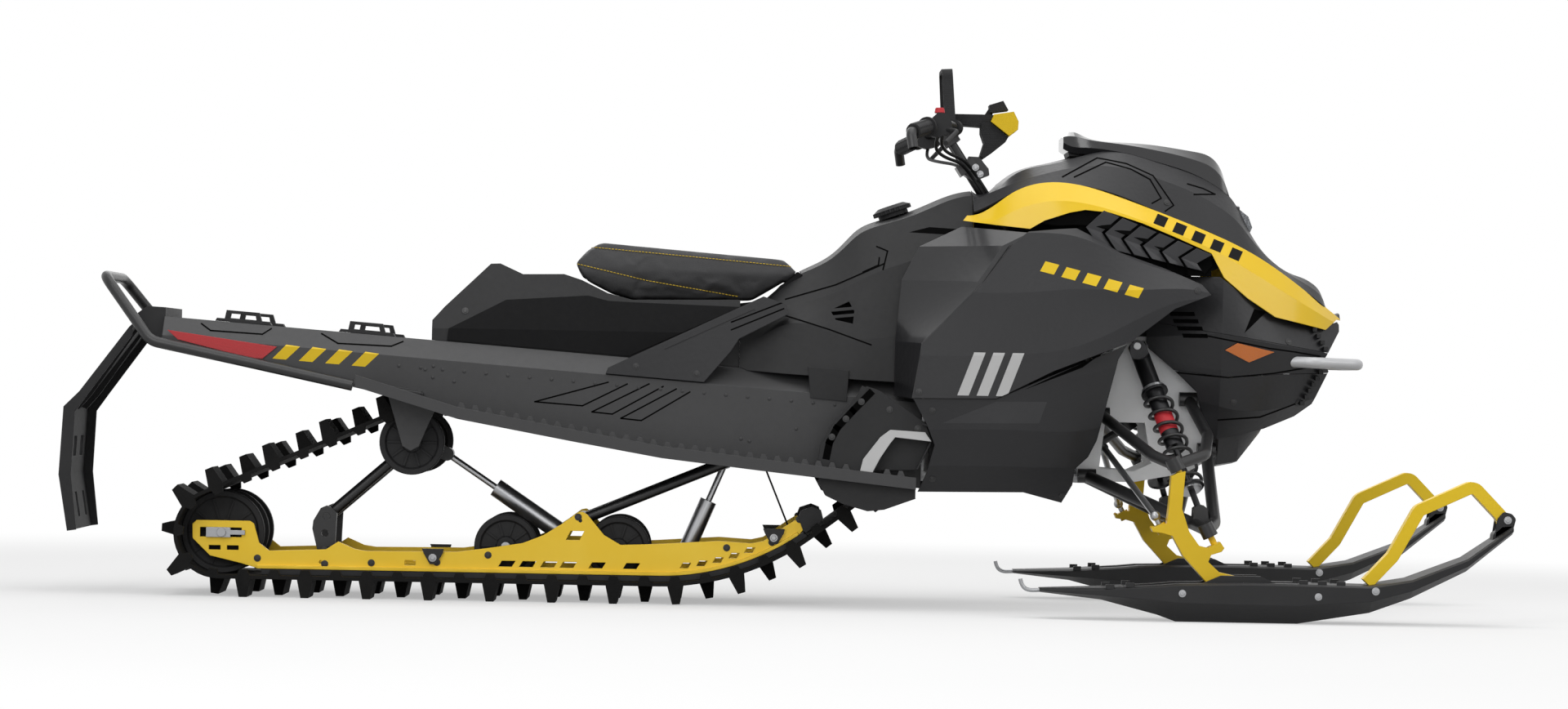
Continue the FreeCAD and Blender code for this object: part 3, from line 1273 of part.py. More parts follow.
def knuckle():
    """Left steering knuckle: a curved leg with its steering arm, lower lug and studs."""
    y = SKI_STANCE / 2
    half = KNUCKLE_WIDTH / 2
    leg = prism(KNUCKLE, y - half, y + half)
    up = kingpin_dir()
    reach = BALL_HEIGHT / 2 + 3
    top_gap = Part.makeCylinder(BALL_R + 40, 60, kingpin(UPPER_BALL_T) - up * reach, up)
    low = kingpin(LOWER_BALL_T)
    low_gap = Part.makeCylinder(BALL_R + 5, BALL_HEIGHT + 8, low - up * (BALL_HEIGHT / 2 + 4), up)
    leg = leg.cut([top_gap, low_gap])
    top_stud = Part.makeCylinder(STUD_R, 36, kingpin(UPPER_BALL_T) - up * (reach + 14), up)
    low_stud = Part.makeCylinder(STUD_R, 38, low - up * (reach + 20), up)
    boss = Part.makeCylinder(12, 20, tie_rod_end() - up * (STUD_DROP + 20), up)
    clear = Part.makeCylinder(24, 60, tie_rod_end() - up * STUD_DROP, up)
    bolt = lateral(SKI_BOLT[0], SKI_BOLT[1], SKI_BOLT_R + 0.05, y - 60, y + 60)
    return fused(fused(leg, boss).cut(clear), top_stud, low_stud).cut(bolt)


SKI = [
    (560, 66, 60, 57, 30), (690, 70, 54, 44, 62), (810, 78, 46, 14, 72), (850, 82, 42, 0, 75), (1000, 86, 40, 0, 75),
    (1110, 86, 40, 0, 75), (1264, 84, 52, 26, 75), (1351, 99, 76, 58, 72), (1471, 146, 130, 118, 62),
    (1570, 216, 206, 198, 42),
]


def ski():
    """Left ski: keeled hull with a channel for the knuckle and its bolt."""
    centre = SKI_STANCE / 2
    scale = SKI_WIDTH / 150.0
    rings = []
    for x, top, edge, keel, half in SKI:
        half *= scale
        line = [(half - 8, top), (half, top - 4), (half, edge), (half * 0.45, keel)]
        full = line + [(-y, z) for y, z in line[::-1]]
        rings.append(section(x, [(y + centre, z) for y, z in full]))
    hull = Part.makeLoft(rings, True, True)
    hump = prism([(900, 80), (945, 100), (1030, 100), (1075, 80)], centre - 46, centre + 46)
    hull = fused(hull, hump)
    half = SKI_CHANNEL / 2
    channel = prism([(740, 110), (780, 46), (1090, 46), (1140, 110)], centre - half, centre + half)
    pin = lateral(SKI_BOLT[0], SKI_BOLT[1], SKI_BOLT_R, centre - 46, centre + 46)
    return fused(hull.cut(channel), pin)


def ski_handle():
    """Left ski's loop handle."""
    y = SKI_STANCE / 2
    path = [(1262, y, 88), (1316, y, 146), (1371, y, 246), (1487, y, 300), (1545, y, 240), (1553, y, 226)]
    return flat_bar(path, 26, 34, 18).cut(ski())


def tie_rod_end():
    """Centre of the left tie rod's outer ball."""
    return vec(806, SKI_STANCE / 2, 224)


def tie_rod():
    """Left tie rod, from the pitman arm out to the steering arm, with the outer ball's stud."""
    outer = tie_rod_end()
    inner = Vector(*pitman_tip()) + vec(0, 30, 0)
    stud = Part.makeCylinder(6, STUD_DROP - GAP, outer, -kingpin_dir())
    return fused(rod(inner, outer, 7), Part.makeSphere(11, outer), Part.makeSphere(10, inner), stud)


# Steering

def column_dir():
    """Unit vector up the steering column."""
    a = math.radians(COLUMN_ANGLE)
    return vec(-math.sin(a), 0, math.cos(a))


def column_foot():
    """Lower end of the column."""
    return vec(COLUMN_TOP[0], 0, COLUMN_TOP[1]) - column_dir() * COLUMN_LENGTH


def pitman_tip():
    """Centre of the pitman arm's outer end."""
    a = math.radians(COLUMN_ANGLE)
    p = column_foot() + vec(-math.cos(a), 0, -math.sin(a)) * PITMAN_LENGTH
    return p.x, p.y, p.z


def steering_column():
    """Column with its pitman arm."""
    up = column_dir()
    foot = column_foot()
    shaft = Part.makeCylinder(COLUMN_R, COLUMN_LENGTH + COLUMN_STUB, foot, up)
    tip = Vector(*pitman_tip())
    arm = rod(foot + up * 12, tip + up * 12, 9)
    hub = Part.makeCylinder(20, 26, foot, up)
    return fused(shaft, arm, hub)


def tilted(shape):
    """A piece drawn upright about the column's top, leaned back to the column's angle."""
    x, z = COLUMN_TOP
    shape.rotate(vec(x, 0, z), vec(0, 1, 0), -COLUMN_ANGLE)
    return shape


def bar_clamp(grow):
    """The bar's clamp at the riser's top, grown by a clearance."""
    x, z = COLUMN_TOP
    top = z + math.dist(COLUMN_TOP, BAR_CENTRE)
    return tilted(box(x - 19 - grow, x + 19 + grow, -42 - grow, 42 + grow, top - 26 - grow, top + 18 + grow))


def riser():
    """Riser between the column and the bar: foot clamp, two posts and the bar's clamp."""
    x, z = COLUMN_TOP
    base = z + COLUMN_STUB + GAP
    top = z + math.dist(COLUMN_TOP, BAR_CENTRE)
    foot = tilted(box(x - 22, x + 22, -38, 38, base, base + 24))
    block = prism([(407, 990), (414, 1009), (438, 1008), (448, 995), (459, 982), (461, 968), (425, 953), (404, 968)],
                  -26, 26)
    posts = [tilted(rod((x, s * 26, base), (x, s * 26, top - BAR_R), 9)) for s in (-1, 1)]
    column = Part.makeCylinder(COLUMN_R + GAP, COLUMN_LENGTH + COLUMN_STUB + GAP, column_foot(), column_dir())
    return fused(foot, block, bar_clamp(0), *posts).cut([lateral(*BAR_CENTRE, BAR_R + GAP, -60, 60), column])


def bar(radius):
    """The bar's form: straight middle, swept arms and turned-down ends."""
    x, z = BAR_CENTRE
    half = [(x, BAR_MIDDLE, z), BAR_BEND, BAR_END, BAR_HOOK]
    return tube([(px, -py, pz) for px, py, pz in half[::-1]] + half, radius, 14)


def handlebar():
    """Swept bar with turned-down ends, open at its tips."""
    tip = Vector(*BAR_HOOK)
    up = (Vector(*BAR_END) - tip).normalize()
    bore = Part.makeCylinder(BAR_BORE_R, BAR_BORE_DEPTH + 5, tip - up * 5, up)
    return bar(BAR_R).cut(both(bore))


def bar_controls():
    """Grips, and the switch housings inboard of them with their levers."""
    a, b = Vector(*BAR_BEND), Vector(*BAR_END)
    grip = rod(a + (b - a) * 0.46, a + (b - a) * 0.92, GRIP_R)
    flange = rod(a + (b - a) * 0.46, a + (b - a) * 0.49, GRIP_R + 5)
    housing = prism([(306, 1044), (307, 1052), (316, 1076), (333, 1092), (356, 1089), (364, 1068), (358, 1044),
                     (331, 1037)], 232, 272)
    lever = tube([(350, 262, 1056), (374, 300, 1050), (346, 376, 1020)], 5, 20)
    core = bar(BAR_R + GAP)
    return both(fused(grip, flange).cut(core), fused(housing, lever).cut(core))


def bar_pad():
    """Padded cover over the bar's clamp, the bag strap in front of it, and the grab strap above."""
    pad = prism([(361, 1103), (440, 1103), (472, 1102), (466, 1085), (440, 1076), (375, 1080)], -36, 36)
    band = prism([(440, 1084), (461, 1085), (501, 1053), (495, 1042), (467, 1019), (446, 1004), (439, 1010),
                  (448, 1040), (440, 1062)], -40, 40)
    case = prism([(460, 1108), (458, 1125), (489, 1135), (501, 1114)], -28, 28)
    neck = prism([(440, 1090), (458, 1118), (470, 1120), (466, 1104), (456, 1092)], -12, 12)
    bag_room = bar_bag()
    bag_room.translate(vec(-GAP, 0, 0))
    dark = fused(pad, band, case, neck).cut([bar_clamp(GAP), bar_bag(), bag_room])
    path = [(368, STRAP_Y, 1078), (360, 68, 1198), (360, -68, 1198), (368, -STRAP_Y, 1078)]
    wire = bent_path(path, 16)
    start = Vector(*path[0])
    along = (Vector(*path[1]) - start).normalize()
    out = along.cross(vec(1, 0, 0)).normalize()
    corners = [start + vec(12 * a, 0, 0) + out * (4 * b) for a, b in ((1, 1), (1, -1), (-1, -1), (-1, 1))]
    loop = swept(Part.makePolygon(corners + corners[:1]), wire)
    rings = [rod((x + 4, y - 13, z), (x - 3, y + 13, z + 1), BAR_R + 6)
             for x, y, z in ((377, STRAP_Y, 1069),)]
    strap = fused(loop, *both(*rings)).cut(bar(BAR_R + GAP))
    return [dark, strap]


def bar_bag():
    """Pouch strapped to the front of the bar."""
    return prism([(468, 1103), (512, 1110), (523, 1088), (522, 1070), (503, 1055), (461, 1087)], -48, 48)


def build():
    """Writes every node."""
    os.makedirs("parts", exist_ok=True)
    export("track", track())
    export("wheels", idler_wheels() + small_wheels())
    export("skid_shafts", axles() + skid_crossbars())
    export("drive_axle", drive_axle())
    export("slide_rails", slide_rails())
    export("rail_sliders", sliders() + rail_tips())
    export("skid_arms", skid_arms() + skid_rockers())
    export("skid_shocks", skid_shocks())
    export("limiter_straps", limiter_straps())
    export("tunnel", tunnel())
    export("running_boards", running_boards())
    export("footwells", footwells())
    export("toe_rails", toe_rails())
    export("rear_bumper", rear_bumper())
    export("tail_cap", tail_cap())
    export("snow_flap", snow_flap())
    export("cargo_anchors", cargo_anchors())
    export("tail_reflectors", tail_reflectors())
    export("seat_base", seat_base())
    export("seat_side_panels", seat_side_panels())
    export("seat_cushion", seat_cushion())
    export("frame_braces", frame_braces())
    export("console", console())
    export("fuel_cap", fuel_cap())
    export("hood", hood())
    export("accent_panels", accent_panels())
    export("vent_panels", vent_panels())
    export("side_panels", side_panels())
    export("knee_panels", knee_panels())
    export("lower_panels", lower_panels())
    export("nose_panels", nose_upper() + nose_lower() + [chin()])
    export("nose_grille", nose_grille())
    export("front_bumper", front_bumper())
    export("marker_lenses", marker_lenses())
    export("visor", visor())
    export("gauge", gauge())
    export("headlamp", headlamp())
    export("bulkhead", bulkhead())
    export("upper_arms", upper_arms())
    export("lower_arms", lower_arms())
    export("ski_shocks", ski_shocks())
    export("ski_springs", ski_springs())
    export("engine_block", engine_block())
    for side, place in (("left", lambda s: s), ("right", mirrored)):
        export("knuckle_" + side, place(knuckle()))
        export("ski_" + side, place(ski()))
        export("ski_handle_" + side, place(ski_handle()))
        export("tie_rod_" + side, place(tie_rod()))
    export("steering_column", steering_column())
    export("riser", riser())
    export("handlebar", handlebar())
    export("bar_controls", bar_controls())
    export("bar_pad", bar_pad())
    export("bar_bag", bar_bag())


build()
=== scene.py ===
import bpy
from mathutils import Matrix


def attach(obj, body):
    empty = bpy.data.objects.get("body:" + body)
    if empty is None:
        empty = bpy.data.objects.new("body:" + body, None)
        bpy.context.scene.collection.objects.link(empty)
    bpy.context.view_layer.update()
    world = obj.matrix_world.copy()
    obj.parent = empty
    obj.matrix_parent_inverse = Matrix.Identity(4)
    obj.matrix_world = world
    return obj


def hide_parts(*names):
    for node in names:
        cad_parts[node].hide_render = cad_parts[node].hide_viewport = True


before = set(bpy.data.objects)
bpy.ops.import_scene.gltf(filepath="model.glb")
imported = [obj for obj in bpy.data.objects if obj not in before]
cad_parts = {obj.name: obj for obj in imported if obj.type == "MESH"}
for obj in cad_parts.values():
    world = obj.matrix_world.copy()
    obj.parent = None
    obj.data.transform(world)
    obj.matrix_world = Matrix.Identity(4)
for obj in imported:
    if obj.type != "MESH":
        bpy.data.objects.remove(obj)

"""Dresses the packed snowmobile: finishes, the soft seat, marks, fasteners, cables and a plain studio."""

import logging
import math
from dataclasses import dataclass
from enum import Enum

import bmesh
import bpy
from mathutils import Matrix, Vector
from mathutils.bvhtree import BVHTree
from mathutils.kdtree import KDTree

log = logging.getLogger("snowmobile")

Point = tuple[float, float, float]
Flat = tuple[float, float]
Line = tuple[Flat, ...]
Place = tuple[Vector, Vector]     # a point, and the way that a surface faces or a bar runs there

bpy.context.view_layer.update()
MM = 0.001
DATUM_X = 0.0085          # the drawing's side view is shifted by this to the model's centre
FAR = 2000.0              # a ray's start well outside the machine, in drawing millimetres
SIDES = ((1, "left"), (-1, "right"))
EDGE_MM = 1.8             # how round a moulded or folded edge looks
DRIFT_SCALE = 9.0         # patches of drifting tone, about 110 mm across
SHEEN_SCALE = 90.0        # patches of changing gloss, about 11 mm across
GRAIN_DEPTH = 0.6         # the relief's full depth against its spacing
SCRATCH_SHARE = 0.04      # scratches are 25 times as long as they are wide
WAVES_PER_THREAD = 6.0    # brings one band of the wave texture to one thread's width
FILM = 0.0004             # how far a film or a thread stands off its panel, in metres
SIDEWAYS = 0.12           # a face takes a film where its normal looks at least this far to the side
MIDDLE = 0.004            # and where it lies farther than this from the centre plane
SAME_POINT = 1e-5         # corners closer than this are one


class Surface(Enum):
    """How a finish's skin was made, which decides its relief."""

    MOULDED = "moulded"        # fine spark-eroded grain of a plastic tool
    GLOSSY = "glossy"          # polished tool or paint, only a slight waviness
    POWDER = "powder"          # powder coat, orange-peel waviness
    BRUSHED = "brushed"        # long fine scratches
    CAST = "cast"              # die-cast, coarse speckle
    RUBBER = "rubber"          # matt rubber with flow marks and dust
    GRIPPER = "gripper"        # seat vinyl with raised pebbles
    WOVEN = "woven"            # plain weave of webbing


def linear(colour: str) -> tuple[float, float, float, float]:
    """Turns an sRGB hex colour into linear RGBA.

    Args:
        colour: Hex digits such as "#f2ca18".

    Returns:
        The colour that a shader socket takes.
    """
    parts = [int(colour[i:i + 2], 16) / 255 for i in (1, 3, 5)]
    return tuple(c / 12.92 if c <= 0.04045 else ((c + 0.055) / 1.055) ** 2.4 for c in parts) + (1.0,)


def side(x: float, z: float) -> Flat:
    """A side-view point of the drawing in millimetres, in the model's metres."""
    return (x * MM + DATUM_X, z * MM)


def at(x: float, y: float, z: float) -> Vector:
    """A point of the drawing in millimetres, in the model's metres."""
    return Vector((x * MM + DATUM_X, y * MM, z * MM))


def node_mesh(name: str) -> bpy.types.Mesh:
    """A CAD node's mesh."""
    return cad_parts[name].data


def blank_tree(owner: bpy.types.Material | bpy.types.World) -> bpy.types.NodeTree:
    """Turns on the nodes of a material or the world and clears them.

    Args:
        owner: The material or the world.

    Returns:
        Its empty tree.
    """
    owner.use_nodes = True
    owner.node_tree.nodes.clear()
    return owner.node_tree


def add_node(tree: bpy.types.NodeTree, kind: str, values: dict | None = None, links: dict | None = None,
             **settings: object) -> bpy.types.Node:
    """Adds one node with its settings and links.

    Args:
        tree: The tree it goes into.
        kind: The node's type name.
        values: Socket name or number to plain value.
        links: Socket name or number to the output socket that feeds it.
        settings: Attributes of the node.

    Returns:
        The new node.
    """
    node = tree.nodes.new(kind)
    for key, value in settings.items():
        setattr(node, key, value)
    for key, value in (values or {}).items():
        node.inputs[key].default_value = value
    for key, source in (links or {}).items():
        tree.links.new(source, node.inputs[key])
    return node


@dataclass(frozen=True)
class Finish:
    """One real material and how its surface was made."""

    name: str
    colour: str
    second: str                # the colour that the first drifts to
    surface: Surface
    roughness: float
    grain_mm: float            # spacing of the relief; a finer real grain is drawn this coarse, to show
    relief: float
    metallic: float = 0.0
    drift: float = 0.35        # how much of the second colour shows
    coat: float = 0.0
    specular: float = 0.30     # plastics and rubber; a metal keeps the shader's own

    def make(self) -> bpy.types.Material:
        """Builds the node material.

        Returns:
            The material.
        """
        material = bpy.data.materials.new(self.name)
        tree = blank_tree(material)
        place = add_node(tree, "ShaderNodeTexCoord").outputs["Object"]
        shader = add_node(tree, "ShaderNodeBsdfPrincipled",
                          {"Metallic": self.metallic, "Coat Weight": self.coat, "Coat Roughness": 0.12})
        if not self.metallic:
            shader.inputs["Specular IOR Level"].default_value = self.specular
        broad = add_node(tree, "ShaderNodeTexNoise", {"Scale": DRIFT_SCALE, "Detail": 3.0}, {"Vector": place})
        fine = add_node(tree, "ShaderNodeTexNoise", {"Scale": SHEEN_SCALE, "Detail": 2.0}, {"Vector": place})
        blend = add_node(tree, "ShaderNodeMapRange",
                         {"From Min": 0.38, "From Max": 0.68, "To Min": 0.0, "To Max": self.drift},
                         {"Value": broad.outputs["Fac"]})
        colour = add_node(tree, "ShaderNodeMix", {6: linear(self.colour), 7: linear(self.second)},
                          {0: blend.outputs["Result"]}, data_type="RGBA")
        tree.links.new(colour.outputs[2], shader.inputs["Base Color"])
        rough = add_node(tree, "ShaderNodeMapRange",
                         {"To Min": self.roughness - 0.05, "To Max": self.roughness + 0.07},
                         {"Value": fine.outputs["Fac"]})
        tree.links.new(rough.outputs["Result"], shader.inputs["Roughness"])
        height = self.height(tree, place)
        rounded = add_node(tree, "ShaderNodeBevel", {"Radius": EDGE_MM * MM}, samples=4)
        bump = add_node(tree, "ShaderNodeBump",
                        {"Strength": self.relief, "Distance": self.grain_mm * MM * GRAIN_DEPTH},
                        {"Height": height, "Normal": rounded.outputs["Normal"]})
        tree.links.new(bump.outputs["Normal"], shader.inputs["Normal"])
        add_node(tree, "ShaderNodeOutputMaterial", links={"Surface": shader.outputs["BSDF"]})
        return material

    def height(self, tree: bpy.types.NodeTree, place: bpy.types.NodeSocket) -> bpy.types.NodeSocket:
        """The relief of this finish's surface.

        Args:
            tree: The material's tree.
            place: Object coordinates.

        Returns:
            The socket that gives the height.
        """
        scale = 1.0 / (self.grain_mm * MM)
        if self.surface is Surface.BRUSHED:
            stretch = (scale * SCRATCH_SHARE, scale, scale)
            drawn = add_node(tree, "ShaderNodeMapping", {"Scale": stretch}, {"Vector": place})
            return add_node(tree, "ShaderNodeTexNoise", {"Scale": 1.0, "Detail": 2.0},
                            {"Vector": drawn.outputs["Vector"]}).outputs["Fac"]
        if self.surface is Surface.WOVEN:
            across, along = (add_node(tree, "ShaderNodeTexWave", {"Scale": scale / WAVES_PER_THREAD},
                                      {"Vector": place}, bands_direction=way).outputs["Fac"] for way in "XZ")
            return add_node(tree, "ShaderNodeMath", links={0: across, 1: along},
                            operation="MAXIMUM").outputs["Value"]
        if self.surface in (Surface.GRIPPER, Surface.CAST):
            return add_node(tree, "ShaderNodeTexVoronoi", {"Scale": scale}, {"Vector": place},
                            feature="SMOOTH_F1").outputs["Distance"]
        detail = {Surface.GLOSSY: 0.0, Surface.POWDER: 1.0, Surface.MOULDED: 4.0, Surface.RUBBER: 6.0}
        return add_node(tree, "ShaderNodeTexNoise", {"Scale": scale, "Detail": detail[self.surface]},
                        {"Vector": place}).outputs["Fac"]


class Finishes:
    """The machine's finishes, each made once."""

    TABLE = (
        # Painted polypropylene panels: satin, a slight waviness, faint drift of tone
        Finish("satin_painted_polypropylene", "#212123", "#262628", Surface.GLOSSY, 0.42, 9.0, 0.05,
               coat=0.05),
        # The same paint with a painted highlight, for a facet that faces up: a little paler, its tone
        # drifting at random
        Finish("painted_highlight_satin_polypropylene", "#2b2b2d", "#3a3a3c", Surface.GLOSSY, 0.42, 9.0, 0.05, coat=0.15),
        # The same plastic left bare: matt, its etched grain breaks up the light
        Finish("grained_black_polypropylene", "#1d1d1e", "#29292a", Surface.MOULDED, 0.58, 1.4, 0.22),
        # Near-black moulding with next to no shine: painted shade on the recessed seat flank covers and on
        # the walls behind the vents, and the real black of the accent band's marks
        Finish("black_print_and_painted_shade_polypropylene", "#0e0e0f", "#131314", Surface.MOULDED, 0.66, 1.4, 0.22,
               specular=0.12),
        # Moulded louvre blades: satin, and painted paler than the panels' black as painted light, so that
        # each fold shows in the shade under the band
        Finish("painted_light_louvre_nylon", "#39393b", "#414143", Surface.GLOSSY, 0.40, 6.0, 0.05),
        # Polished knee panels: dark, with one soft broad reflection
        Finish("polished_black_polypropylene", "#202022", "#262628", Surface.GLOSSY, 0.30, 14.0, 0.04,
               coat=0.35),
        # Panels moulded in yellow: semi-gloss, the colour slightly uneven
        Finish("yellow_gloss_polypropylene", "#f2c70f", "#f6d332", Surface.GLOSSY, 0.32, 9.0, 0.04,
               coat=0.25),
        # Pale grey moulding: matt and dry
        Finish("pale_grey_nylon", "#d2d2d2", "#c4c4c4", Surface.MOULDED, 0.5, 1.2, 0.15),
        # Folded aluminium sheet with a dark powder coat: low sheen, orange peel
        Finish("dark_coated_aluminium_sheet", "#303031", "#363637", Surface.POWDER, 0.50, 1.8, 0.10,
               metallic=0.12),
        # Powder-coated steel tube: black, a soft light along each bend
        Finish("black_powder_coated_steel", "#1d1d1e", "#242425", Surface.POWDER, 0.38, 1.6, 0.12,
               metallic=0.1),
        # Moulded loop handles: clean bright yellow, satin
        Finish("yellow_handle_nylon", "#ffd92e", "#f9cf22", Surface.GLOSSY, 0.40, 8.0, 0.04),
        # Grey enamel on a steel tube: pale and smooth, one clear highlight
        Finish("grey_enamelled_tube", "#c6c7c9", "#bcbdbf", Surface.POWDER, 0.35, 2.0, 0.08, metallic=0.1),
        # Gold-yellow anodised extrusion: metal sheen under a dyed skin, scratched along
        Finish("yellow_anodised_extrusion", "#f0c72a", "#f7d54a", Surface.BRUSHED, 0.36, 0.9, 0.08,
               metallic=0.30),
        # Yellow coating on a forged leg: warm, over a faintly lumpy skin
        Finish("yellow_coated_forging", "#f5cd2c", "#ecc122", Surface.POWDER, 0.38, 2.4, 0.10),
        # Turned aluminium, clear anodised: pale metal with fine lines
        Finish("clear_anodised_aluminium", "#a9aaac", "#9a9b9e", Surface.BRUSHED, 0.30, 0.8, 0.08,
               metallic=0.9),
        # Black anodised aluminium: dark metal with sharp highlights
        Finish("black_anodised_aluminium", "#1b1b1d", "#232325", Surface.BRUSHED, 0.34, 0.8, 0.08,
               metallic=0.5),
        # Zinc-plated steel of shafts and rods: cool grey metal, lightly brushed
        Finish("zinc_plated_steel", "#9b9c9e", "#8b8c8e", Surface.BRUSHED, 0.34, 1.0, 0.1, metallic=0.95),
        # Die-cast aluminium of the front frame: pale, dull and speckled
        Finish("die_cast_aluminium", "#e4e5e6", "#d2d3d5", Surface.CAST, 0.50, 2.0, 0.25, metallic=0.25),
        # Moulded track rubber: near black, dusty on the flats
        Finish("moulded_track_rubber", "#161616", "#232221", Surface.RUBBER, 0.82, 3.0, 0.35, drift=0.6,
               specular=0.15),
        # Wheel tyres and guards: dull dark grey, rubbed
        Finish("black_wheel_rubber", "#232324", "#2e2e2f", Surface.RUBBER, 0.66, 2.0, 0.2),
        # Hard slippery plastic of runners and skis: waxy, scratched along
        Finish("black_ski_polyethylene", "#202021", "#2b2b2c", Surface.BRUSHED, 0.46, 1.6, 0.16),
        # Embossed seat vinyl: matt, with raised pebbles that catch small lights
        Finish("grey_gripper_vinyl", "#333334", "#3c3c3d", Surface.GRIPPER, 0.66, 1.7, 0.35),
        # Woven webbing: black without shine; the threads are drawn coarser than real, so that they show
        Finish("black_woven_webbing", "#232324", "#2d2d2e", Surface.WOVEN, 0.8, 2.2, 0.4),
        # Coated cloth of the bar's pouch: yellow with a low sheen over its weave
        Finish("yellow_coated_cloth", "#e8c21b", "#f0cf3a", Surface.WOVEN, 0.6, 1.6, 0.25),
        # Twisted sewing thread: dull yellow
        Finish("yellow_polyester_thread", "#d8b530", "#c9a526", Surface.WOVEN, 0.6, 0.8, 0.2),
        # Tinted polycarbonate of the pod: like black glass, sharp reflections
        Finish("smoked_polycarbonate", "#1f1f21", "#262628", Surface.GLOSSY, 0.16, 12.0, 0.02, coat=0.6),
        # Red lens acrylic: deep colour under a wet gloss
        Finish("red_acrylic_lens", "#c01a22", "#a9141c", Surface.GLOSSY, 0.18, 3.0, 0.2, coat=0.6),
        # Amber lens acrylic: the same gloss, warmer
        Finish("amber_acrylic_lens", "#d9741c", "#c8641a", Surface.GLOSSY, 0.18, 3.0, 0.2, coat=0.6),
        # Clear lens over a lamp's bright bowl: grey and hard-glossed
        Finish("lamp_lens_polycarbonate", "#55585c", "#7a7e83", Surface.GLOSSY, 0.12, 4.0, 0.25,
               metallic=0.3, coat=0.8),
        # Pale vinyl film: flat grey with a slight sheen
        Finish("pale_vinyl_film", "#c9c9c9", "#c0c0c0", Surface.GLOSSY, 0.35, 8.0, 0.03),
        # Yellow vinyl film: the panels' yellow, a shade flatter
        Finish("yellow_vinyl_film", "#eac51f", "#e0b818", Surface.GLOSSY, 0.35, 8.0, 0.03),
        # Painted shade in gaps, slots, grooves and recesses between panels and behind the vents: black, no
        # highlight
        Finish("painted_shade_black", "#070707", "#0b0b0b", Surface.RUBBER, 0.9, 2.0, 0.1, specular=0.04),
        # Extruded cable sheath: black, with a thin line of light along it
        Finish("black_cable_sheath", "#151516", "#1c1c1d", Surface.RUBBER, 0.5, 1.5, 0.15),
        # Moulded red nylon of the stop switch and the shocks' bands: bright and matt
        Finish("red_switch_nylon", "#c8323a", "#b52a32", Surface.MOULDED, 0.45, 1.0, 0.12),
    )

    def __init__(self) -> None:
        """Starts with nothing made."""
        self.made: dict[str, bpy.types.Material] = {}
        self.plan = {finish.name: finish for finish in self.TABLE}

    def get(self, name: str) -> bpy.types.Material:
        """The material of a finish.

        Args:
            name: The finish's name.

        Returns:
            Its material, made at the first call.
        """
        if name not in self.made:
            self.made[name] = self.plan[name].make()
        return self.made[name]


NODE_FINISHES = {
    "moulded_track_rubber": ("track",),
    "black_wheel_rubber": ("wheels", "snow_flap", "bar_controls"),
    "zinc_plated_steel": ("skid_shafts", "tie_rod_left", "tie_rod_right"),
    "black_ski_polyethylene": ("drive_axle", "rail_sliders", "ski_left", "ski_right"),
    "yellow_anodised_extrusion": ("slide_rails",),
    "black_powder_coated_steel": ("skid_arms", "rear_bumper", "upper_arms", "lower_arms", "ski_springs",
                                  "steering_column", "riser", "handlebar"),
    "clear_anodised_aluminium": ("skid_shocks",),
    "black_woven_webbing": ("limiter_straps", "bar_pad"),
    "dark_coated_aluminium_sheet": ("tunnel", "running_boards"),
    "grained_black_polypropylene": ("footwells", "tail_cap", "cargo_anchors", "seat_base", "console",
                                    "fuel_cap", "nose_grille", "gauge"),
    "pale_grey_nylon": ("toe_rails",),
    "red_acrylic_lens": ("tail_reflectors",),
    "black_print_and_painted_shade_polypropylene": ("seat_side_panels",),
    "satin_painted_polypropylene": ("frame_braces", "hood", "side_panels", "lower_panels", "nose_panels"),
    "yellow_gloss_polypropylene": ("accent_panels",),
    "painted_shade_black": ("vent_panels",),
    "polished_black_polypropylene": ("knee_panels",),
    "grey_enamelled_tube": ("front_bumper",),
    "amber_acrylic_lens": ("marker_lenses",),
    "smoked_polycarbonate": ("visor",),
    "lamp_lens_polycarbonate": ("headlamp",),
    "die_cast_aluminium": ("bulkhead",),
    "black_anodised_aluminium": ("ski_shocks", "engine_block"),
    "yellow_coated_forging": ("knuckle_left", "knuckle_right"),
    "yellow_handle_nylon": ("ski_handle_left", "ski_handle_right"),
    "yellow_coated_cloth": ("bar_bag",),
    "grey_gripper_vinyl": ("seat_cushion",),
}


def dress_nodes(finishes: Finishes) -> None:
    """Gives each CAD node its finish.

    Args:
        finishes: The machine's finishes.
    """
    for finish, names in NODE_FINISHES.items():
        for name in names:
            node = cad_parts[name]
            material = finishes.get(finish)
            if not node.data.materials:
                node.data.materials.append(material)
            for slot in node.material_slots:
                slot.material = material


def linked(name: str, data: bpy.types.ID) -> bpy.types.Object:
    """Shows some data in the scene as an object at the origin.

    Args:
        name: The object's name.
        data: A mesh, curve, light or camera.

    Returns:
        The object.
    """
    obj = bpy.data.objects.new(name, data)
    bpy.context.scene.collection.objects.link(obj)
    return obj


def new_piece(name: str, mesh: bpy.types.Mesh, material: bpy.types.Material, body: str,
              smooth: bool = False) -> None:
    """Puts a mesh into the scene as a piece that rides on a body.

    Args:
        name: The piece's name.
        mesh: Its mesh, in place.
        material: Its finish.
        body: The CAD body that carries it.
        smooth: Whether its faces are shaded smooth.
    """
    piece = linked(name, mesh)
    mesh.materials.clear()
    mesh.materials.append(material)
    for polygon in mesh.polygons:
        polygon.use_smooth = smooth
    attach(piece, body)
    log.info("%s: %d faces", name, len(mesh.polygons))


def keep(shape: bmesh.types.BMesh, name: str) -> bpy.types.Mesh:
    """Writes a working mesh into a plain one.

    Args:
        shape: The working mesh, which is used up.
        name: The plain mesh's name.

    Returns:
        The plain mesh.
    """
    mesh = bpy.data.meshes.new(name)
    shape.to_mesh(mesh)
    shape.free()
    return mesh


